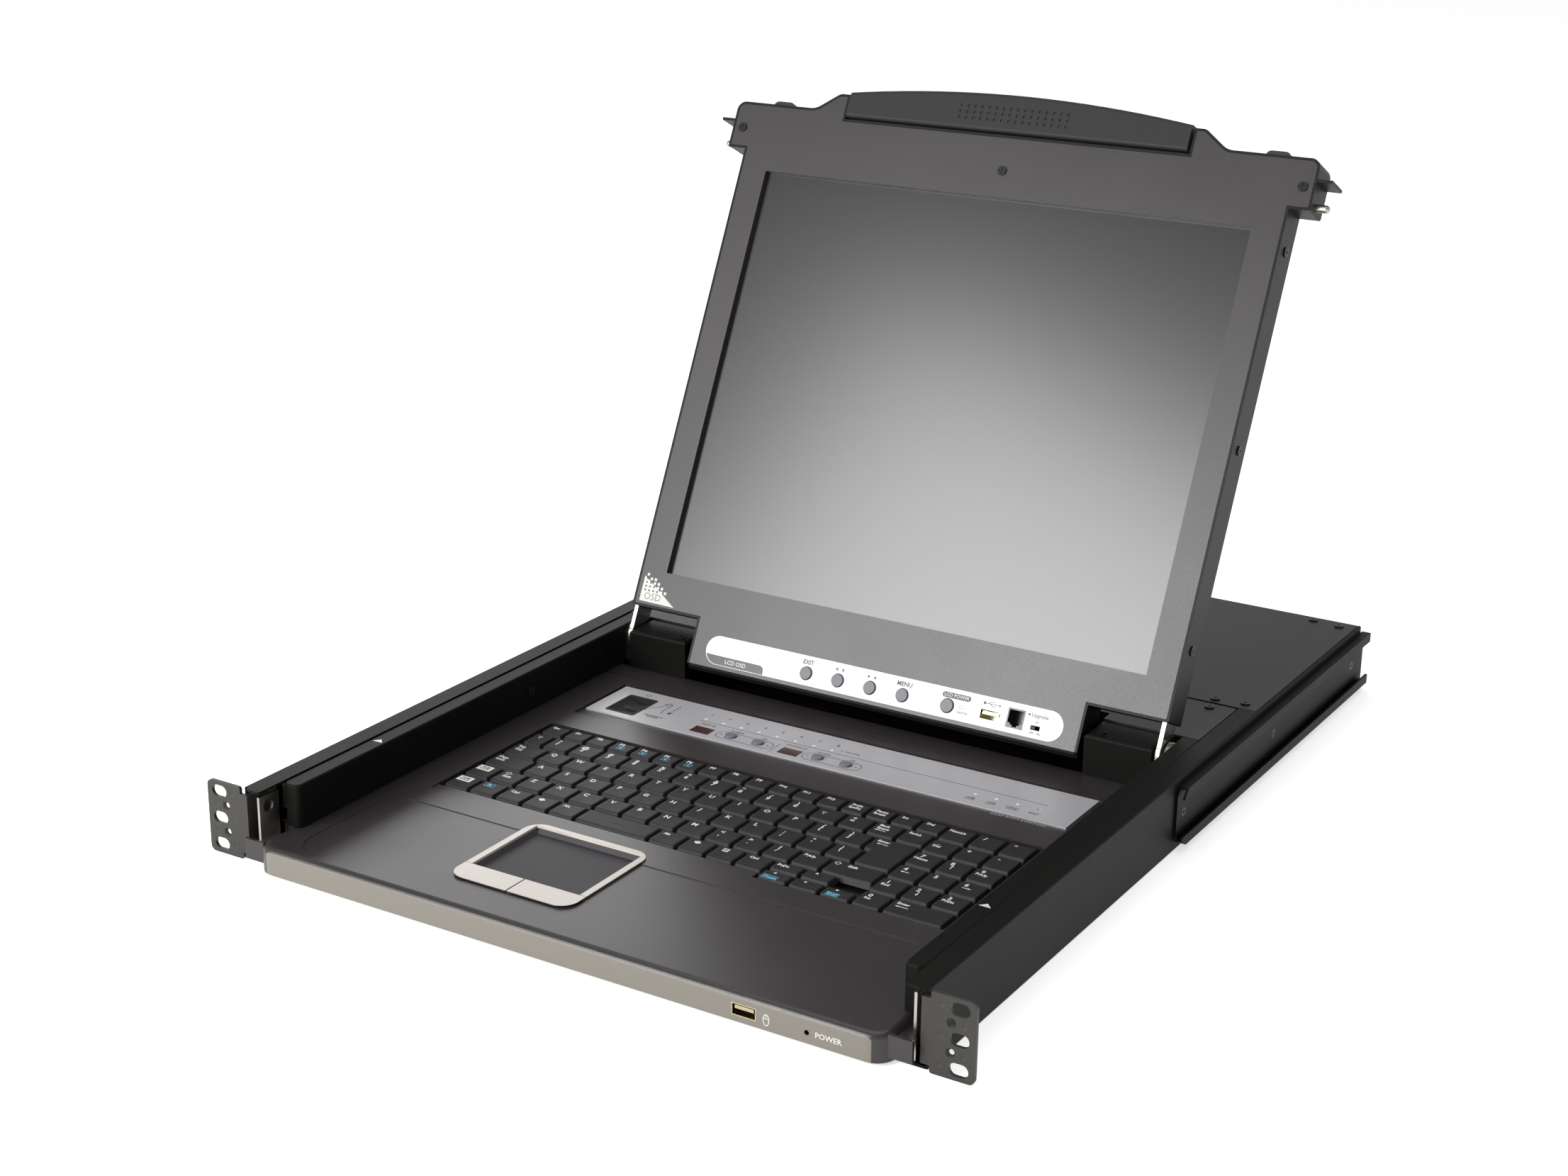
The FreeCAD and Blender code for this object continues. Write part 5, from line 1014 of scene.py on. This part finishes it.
def key_ring(corners, side, front, radius):
    """A rounded outline, drawn in from the corners by one amount, and by another at the front."""
    moved = [
        Vector((x + sx * side, y + (front if sy > 0 else -side))) for x, y, sx, sy in corners
    ]
    arcs = []
    for i, corner in enumerate(moved):
        before = (moved[i - 1] - corner).normalized() * radius
        after = (moved[(i + 1) % len(moved)] - corner).normalized() * radius
        arcs.append([
            corner + before * (1 - t) ** 2 + after * t ** 2 for t in (0, 0.25, 0.5, 0.75, 1)
        ])
    ring = []
    for i, arc in enumerate(arcs):
        ring += arc
        start = arcs[(i + 1) % len(arcs)][0]
        ring += [arc[-1].lerp(start, step / SIDE_STEPS) for step in range(1, SIDE_STEPS)]
    return ring


def key_cap(form, corners):
    """Adds one key cap to a form, from its lower edge up to the dished top."""
    left, right, front, rear = corner_box(corners)
    half = (right - left) / 2 - KEY_GAP - SIDE_LEAN
    room = min(half, (rear - front - SIDE_LEAN - FRONT_LEAN) / 2 - KEY_GAP)
    levels = [
        (0.0, 0.0, -KEY_HEIGHT), (0.1, 0.0, 0.4 - KEY_HEIGHT), (0.92, 0.0, -0.65),
        (1.0, 0.05, -0.28), (1.0, 0.32, -0.05), (1.0, 0.75, 0.0), (1.0, room * 0.45, 0.0),
        (1.0, room * 0.75, 0.0), (1.0, room * 0.93, 0.0),
    ]
    rings = []
    for lean, inset, z in levels:
        ring = key_ring(
            corners, lean * SIDE_LEAN + inset + KEY_GAP, lean * FRONT_LEAN + inset + KEY_GAP,
            min(CAP_ROUND, (room - inset) * 0.8),
        )
        high = KEY_Z + z
        rings.append([
            form.verts.new((x, y, high - (key_dip(x - (left + right) / 2, half) if z > -1 else 0)))
            for x, y in ring
        ])
    for lower, upper in zip(rings, rings[1:]):
        for i, corner in enumerate(lower):
            after = (i + 1) % len(lower)
            form.faces.new((corner, lower[after], upper[after], upper[i]))
    form.faces.new(rings[0][::-1])
    form.faces.new(rings[-1])


def key_dip(offset, half):
    """How far the dished top lies below its side edges, at a distance from the key's middle."""
    return KEY_DISH * max(0.0, 1 - (offset / half) ** 2)


def row_edges(row):
    """The front and rear edges of a row of the main block; row 0 is the rear one."""
    rear = KEY_REAR - sum(ROW_DEPTHS[:row])
    return rear - ROW_DEPTHS[row], rear


def key_row(row, start, widths, words):
    """One row's keys as (corners, legend), from a start and widths in key units."""
    keys = []
    front, rear = row_edges(row)
    left = KEY_LEFT + start * KEY_PITCH
    for width, legend in zip(widths, words):
        keys.append((box_corners(left, left + width * KEY_PITCH, front, rear), legend))
        left += width * KEY_PITCH
    return keys


key_groups = {
    "function_keys": key_row(
        0, 0, [MAIN_UNITS / 17] * 17,
        ["Esc", "F1", "F2", "F3", "F4", "F5", "F6", "F7", "F8", "F9", "F10", "F11", "F12",
         "PrtSc\nSysRq", "Pause\nBreak", "Ins", "Del"],
    ),
    "number_keys": key_row(
        1, 0, [0.78] + [1] * 14,
        ["~\n`", "!\n1", "@\n2", "#\n3", "$\n4", "%\n5", "^\n6", "&\n7", "*\n8", "(\n9", ")\n0",
         "_\n-", "+\n=", "Back\nSpace", "ScrLk"],
    ),
    "letter_keys": key_row(2, 0, [TAB_UNITS] + [1] * 12, ["Tab", *"QWERTYUIOP", "{\n[", "}\n]"])
    + key_row(3, 0, [CAPS_UNITS] + [1] * 12, ["Caps\nLock", *"ASDFGHJKL", ":\n;", "\"\n'", "|\n\\"])
    + key_row(
        4, 0, [0.97] + [1] * 11 + [1.03, 1.78],
        ["", "\nShift", *"ZXCVBNM", "<\n,", ">\n.", "?\n/", "PgUp", "      Shift"],
    ),
    "control_keys": key_row(5, 0, [0.97] + [1] * 4, ["", "", "Ctrl", "", "Alt"])
    + key_row(5, SPACE_LEFT + SPACE_UNITS, RIGHT_UNITS, ["Alt", "", "", "Ctrl"]),
    "space_bar": key_row(5, SPACE_LEFT, [SPACE_UNITS], [""]),
    "numpad_keys": [],
}

# The arrow block's keys are half as deep as their row and reach the front of the number pad.
main_right = KEY_LEFT + MAIN_UNITS * KEY_PITCH
pad_front = KEY_REAR - 6 * PAD_ROW_DEPTH
arrow_left = KEY_LEFT + (SPACE_LEFT + SPACE_UNITS + sum(RIGHT_UNITS)) * KEY_PITCH
arrow_width = (main_right - arrow_left) / 3
row_rear = row_edges(5)[1]
row_middle = (row_rear + pad_front) / 2
for column, front, rear, legend in (
    (0, row_middle, row_rear, "PgDn"), (0, pad_front, row_middle, ""),
    (1, row_middle, row_rear, ""), (1, pad_front, row_middle, ""), (2, pad_front, row_middle, ""),
):
    left = arrow_left + column * arrow_width
    key_groups["control_keys"].append((box_corners(left, left + arrow_width, front, rear), legend))

enter_left = KEY_LEFT + (TAB_UNITS + 12) * KEY_PITCH
enter_leg = KEY_LEFT + (CAPS_UNITS + 12) * KEY_PITCH
leg_front = row_edges(3)[0]
bar_front, bar_rear = row_edges(2)
key_groups["letter_keys"].append((
    [(enter_leg, leg_front, 1, 1), (main_right, leg_front, -1, 1), (main_right, bar_rear, -1, -1),
     (enter_left, bar_rear, 1, -1), (enter_left, bar_front, 1, 1), (enter_leg, bar_front, 1, 1)],
    "Enter",
))

pad_words = [
    ["NumLk", "/", "*"], [".\nDel", "+", "-"], ["7\nHome", "8\n", "9\nPgUp"], ["4\n", "5\n", "6\n"],
    ["1\nEnd", "2\n", "3\nPgDn"], ["0\nIns", "Enter"],
]
for row, words in enumerate(pad_words):
    left = main_right
    rear = KEY_REAR - row * PAD_ROW_DEPTH
    for column, legend in enumerate(words):
        width = PAD_PITCH * (2 if legend == "Enter" else 1)
        key_groups["numpad_keys"].append((
            box_corners(left, left + width, rear - PAD_ROW_DEPTH, rear), legend,
        ))
        left += width

for group, keys in key_groups.items():
    caps = bmesh.new()
    for corners, legend in keys:
        key_cap(caps, corners)
    piece = set_piece(group + "_caps", caps, key_dark, group)
    piece.data.shade_smooth()
    piece.data.set_sharp_from_angle(angle=math.radians(CREASE))
    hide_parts(group)


# The key legends: white print on the caps' tops, with a few second functions in light blue
# and two boxed labels at the left.

LINE_STEP = 3.5
BOX_LINE = 0.35
LEGEND_LEFT = 4.6
LEGEND_DOWN = 5.0
SHORT_DOWN = 3.9
LONG_WORD = 0.7
RISES = {"white": 0.02, "blue": 0.02, "dark": 0.2}

print_blue = mottled("print_blue", tint(92, 176, 204), tint(120, 198, 222), 900.0, 0.5, 0.1)


def legend_piece(name, form, finish, group, rise):
    """Presses flat print down onto the dished tops of the keys below it, and sets it in place."""
    for vertex in form.verts:
        for corners, legend in key_groups[group]:
            left, right, front, rear = corner_box(corners)
            if left <= vertex.co.x <= right and front <= vertex.co.y <= rear:
                half = (right - left) / 2 - KEY_GAP - SIDE_LEAN
                vertex.co.z += KEY_Z + rise - key_dip(vertex.co.x - (left + right) / 2, half)
                break
    set_piece(name, form, finish, group)


def word_size(line):
    """The letter height of a legend: words are smaller than single letters."""
    return {1: 3.4, 2: 2.7}.get(len(line), 2.3)


def arrow(form, x, y, length, turn):
    """A printed arrow centred on a point, with a shaft and a filled head."""
    run = Vector((math.cos(math.radians(turn)), math.sin(math.radians(turn)))) * length / 2
    stroke(form, [(x - run.x, y - run.y), (x + run.x * 0.6, y + run.y * 0.6)], 0.5)
    printed(form, triangle(x + run.x * 0.7, y + run.y * 0.7, 1.1, turn))


def shift_arrow(form, x, y):
    """The outlined broad arrow of a shift key."""
    right = [(0.9, -1.5), (0.9, 0.0), (2.1, 0.0)]
    outline = [(-0.9, -1.5), *right, (0.0, 1.9), (-2.1, 0.0), (-0.9, 0.0)]
    stroke(form, [(x + dx, y + dy) for dx, dy in outline], 0.4, closed=True)


def on_key(group, index, dx, dy):
    """A point that far to the right and to the front of a key's left rear corner."""
    left, right, front, rear = corner_box(key_groups[group][index][0])
    return left + dx, rear - dy


key_print = {(group, colour): bmesh.new() for group in key_groups for colour in RISES}
for group, keys in key_groups.items():
    down = SHORT_DOWN if group == "function_keys" else LEGEND_DOWN
    for index, (corners, legend) in enumerate(keys):
        for i, line in enumerate(legend.split("\n")):
            if line:
                across = KEY_GAP + SIDE_LEAN + LEGEND_LEFT + max(0, len(line) - 3) * LONG_WORD
                x, y = on_key(group, index, across, down + i * LINE_STEP)
                lettering(
                    key_print[group, "white"], line, x, y, word_size(line), weight=BOLD
                )

# The marks that aren't words: a group, a key's number in it, then what is drawn from that
# key's left rear corner.
for index in (3, 4, 5, 6):
    x, y = on_key("function_keys", index, 7.4, 8.0)
    blue = key_print["function_keys", "blue"]
    stroke(blue, rectangle(x, y, 4.8, 3.0), BOX_LINE, closed=True)
    printed(blue, pill(x, y, 1.6 + 0.4 * (index % 2), 1.4))
blue, white, dark = (key_print["control_keys", colour] for colour in ("blue", "white", "dark"))
for index, words, dx, dy in ((1, "Fn", 7.0, 5.2), (10, "Home", 7.6, 8.35), (13, "END", 7.6, 8.35)):
    x, y = on_key("control_keys", index, dx, dy)
    stroke(blue, rectangle(x, y, 3.2 + 1.5 * len(words), 3.6), BOX_LINE, closed=True)
    lettering(blue, words, x, y, 2.3, weight=BOLD)
for index, dy, turn in ((10, 2.6, 180), (11, 3.4, 90), (12, 3.4, 270), (13, 2.6, 0)):
    printed(white, triangle(*on_key("control_keys", index, 7.6, dy), 1.2, turn))
for index in (3, 6):
    x, y = on_key("control_keys", index, 7.2, 5.2)
    printed(white, [(x + 2.4, y), (x, y + 1.9), (x - 2.4, y), (x, y - 1.9)])
x, y = on_key("control_keys", 7, 7.2, 5.2)
printed(white, rectangle(x, y, 3.6, 3.8))
for rise in (1.0, 0.0, -1.0):
    stroke(dark, [(x - 1.2, y + rise), (x + 1.2, y + rise)], BOX_LINE)
for group, index in (("letter_keys", 26), ("control_keys", 0)):
    x, y = on_key(group, index, 7.6, 5.6)
    printed(key_print[group, "white"], rectangle(x, y, 9.6, 6.2))
    lettering(key_print[group, "dark"], "NUM\nLOCK", x, y, 1.7, weight=0.05)
shift_arrow(key_print["letter_keys", "white"], *on_key("letter_keys", 27, 6.0, 4.4))
shift_arrow(key_print["letter_keys", "white"], *on_key("letter_keys", 39, 5.0, 5.0))
for group, index, dx, dy, length, turn in (
    ("letter_keys", 0, 6.6, 8.2, 5.0, 180), ("letter_keys", 0, 6.6, 9.9, 5.0, 0),
    ("number_keys", 13, 6.8, 11.4, 7.0, 180), ("letter_keys", 40, 8.0, 8.4, 7.0, 180),
    ("numpad_keys", 7, 7.2, 9.0, 4.4, 90), ("numpad_keys", 9, 7.4, 8.6, 5.0, 180),
    ("numpad_keys", 11, 7.4, 8.6, 5.0, 0), ("numpad_keys", 13, 7.2, 9.0, 4.4, 270),
    ("numpad_keys", 16, 8.0, 8.6, 8.0, 180),
):
    arrow(key_print[group, "white"], *on_key(group, index, dx, dy), length, turn)

for (group, colour), form in key_print.items():
    if form.verts:
        ink = {"white": print_white, "blue": print_blue, "dark": print_black}[colour]
        legend_piece(f"{group}_{colour}_print", form, ink, group, RISES[colour])


# The floor and the light: a wide pale sweep, one large soft box low on the left, and dim soft
# fill from all round.

SWEEP = 80.0
SWEEP_THICK = 0.01
FLOOR_GLOW = 0.62
SKY_GLOW = 0.62
ROOM_GLOW = 0.38
SKY_FADE = (0.2, 0.6)

def rays(signal, *kinds):
    """One for rays of these kinds, and nothing for the others."""
    shown = 0.0
    for kind in kinds:
        is_kind = signal.node("ShaderNodeLightPath", {}, {}, f"Is {kind} Ray")
        shown = signal.math("MAXIMUM", shown, is_kind)
    return shown


floor_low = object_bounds()[0].z
sweep_form = bmesh.new()
prism(sweep_form, rectangle(0, 0, SWEEP, SWEEP), -SWEEP_THICK, 0.0)
sweep_mesh = bpy.data.meshes.new("floor")
sweep_form.to_mesh(sweep_mesh)
sweep_form.free()
sweep_mesh.transform(Matrix.Translation((0, 0, floor_low)))
floor_pale, shader, place = new_finish(
    "floor_pale", base_color=(0.9, 0.9, 0.9, 1.0), roughness=0.9, specular_ior_level=0.0,
    emission_color=(1.0, 1.0, 1.0, 1.0),
)
feed(shader, emission_strength=rays(place, "Camera", "Glossy") * FLOOR_GLOW)
sweep_mesh.materials.append(floor_pale)
floor = bpy.data.objects.new("floor", sweep_mesh)
show(floor)


def soft_box(name, place, aim, width, height, power, roll=0.0):
    """A large even lamp at a place, turned to a point and rolled about that line."""
    lamp = bpy.data.lights.new(name, "AREA")
    lamp.shape = "RECTANGLE"
    lamp.size = width
    lamp.size_y = height
    lamp.energy = power
    holder = bpy.data.objects.new(name, lamp)
    holder.location = place
    holder.rotation_mode = "QUATERNION"
    facing = (Vector(aim) - Vector(place)).to_track_quat("-Z", "Y")
    holder.rotation_quaternion = facing @ Quaternion((0, 0, 1), math.radians(roll))
    holder.visible_camera = False
    show(holder)


soft_box("soft_box_left", (-0.72, -1.45, 0.87), (0.0, 0.28, 0.13), 1.1, 0.96, 37.0, -10.0)
soft_box("soft_box_behind", (-1.7, 1.9, 0.9), (0.0, 0.2, 0.0), 1.5, 0.9, 9.0)
soft_box("soft_box_top", (-0.2, 0.5, 2.6), (0.0, 0.3, 0.0), 2.2, 2.2, 20.0)

world = bpy.data.worlds.new("studio")
bpy.context.scene.world = world
world.use_nodes = True
air = Signal(world.node_tree)
backdrop = world.node_tree.nodes["Background"]
backdrop.inputs["Color"].default_value = (1.0, 1.0, 1.0, 1.0)
towards = air.node("ShaderNodeTexCoord", {}, {}, "Generated")
height = air.node("ShaderNodeSeparateXYZ", {}, {"Vector": towards}, "Z")
open_sky = air.node("ShaderNodeMapRange", {}, {
    "Value": height, "From Min": SKY_FADE[0], "From Max": SKY_FADE[1], "To Min": 1.0, "To Max": 0.0,
})
glow = rays(air, "Camera", "Glossy", "Transmission") * open_sky * SKY_GLOW + ROOM_GLOW
feed(backdrop, strength=glow)

view = bpy.context.scene.view_settings
view.view_transform = "Standard"


# The camera: a little above the drawer, in front and to the right.

CAMERA_PLACE = (0.703834, -0.933737, 0.582869)
CAMERA_RIGHT = Vector((0.85153591, 0.5241873, 0.0106898))
CAMERA_UP = Vector((-0.17975834, 0.27274082, 0.94514517))
CAMERA_BACK = Vector((0.49251755, -0.80674663, 0.32647564))
CAMERA_LENS = 57.80

lens = bpy.data.cameras.new("camera")
lens.lens = CAMERA_LENS
lens.sensor_width = 36.0
lens.clip_start = 0.05
camera = bpy.data.objects.new("camera", lens)
camera.matrix_world = Matrix.Translation(CAMERA_PLACE) @ Matrix(
    (CAMERA_RIGHT, CAMERA_UP, CAMERA_BACK)
).transposed().to_4x4()
show(camera)
bpy.context.scene.camera = camera
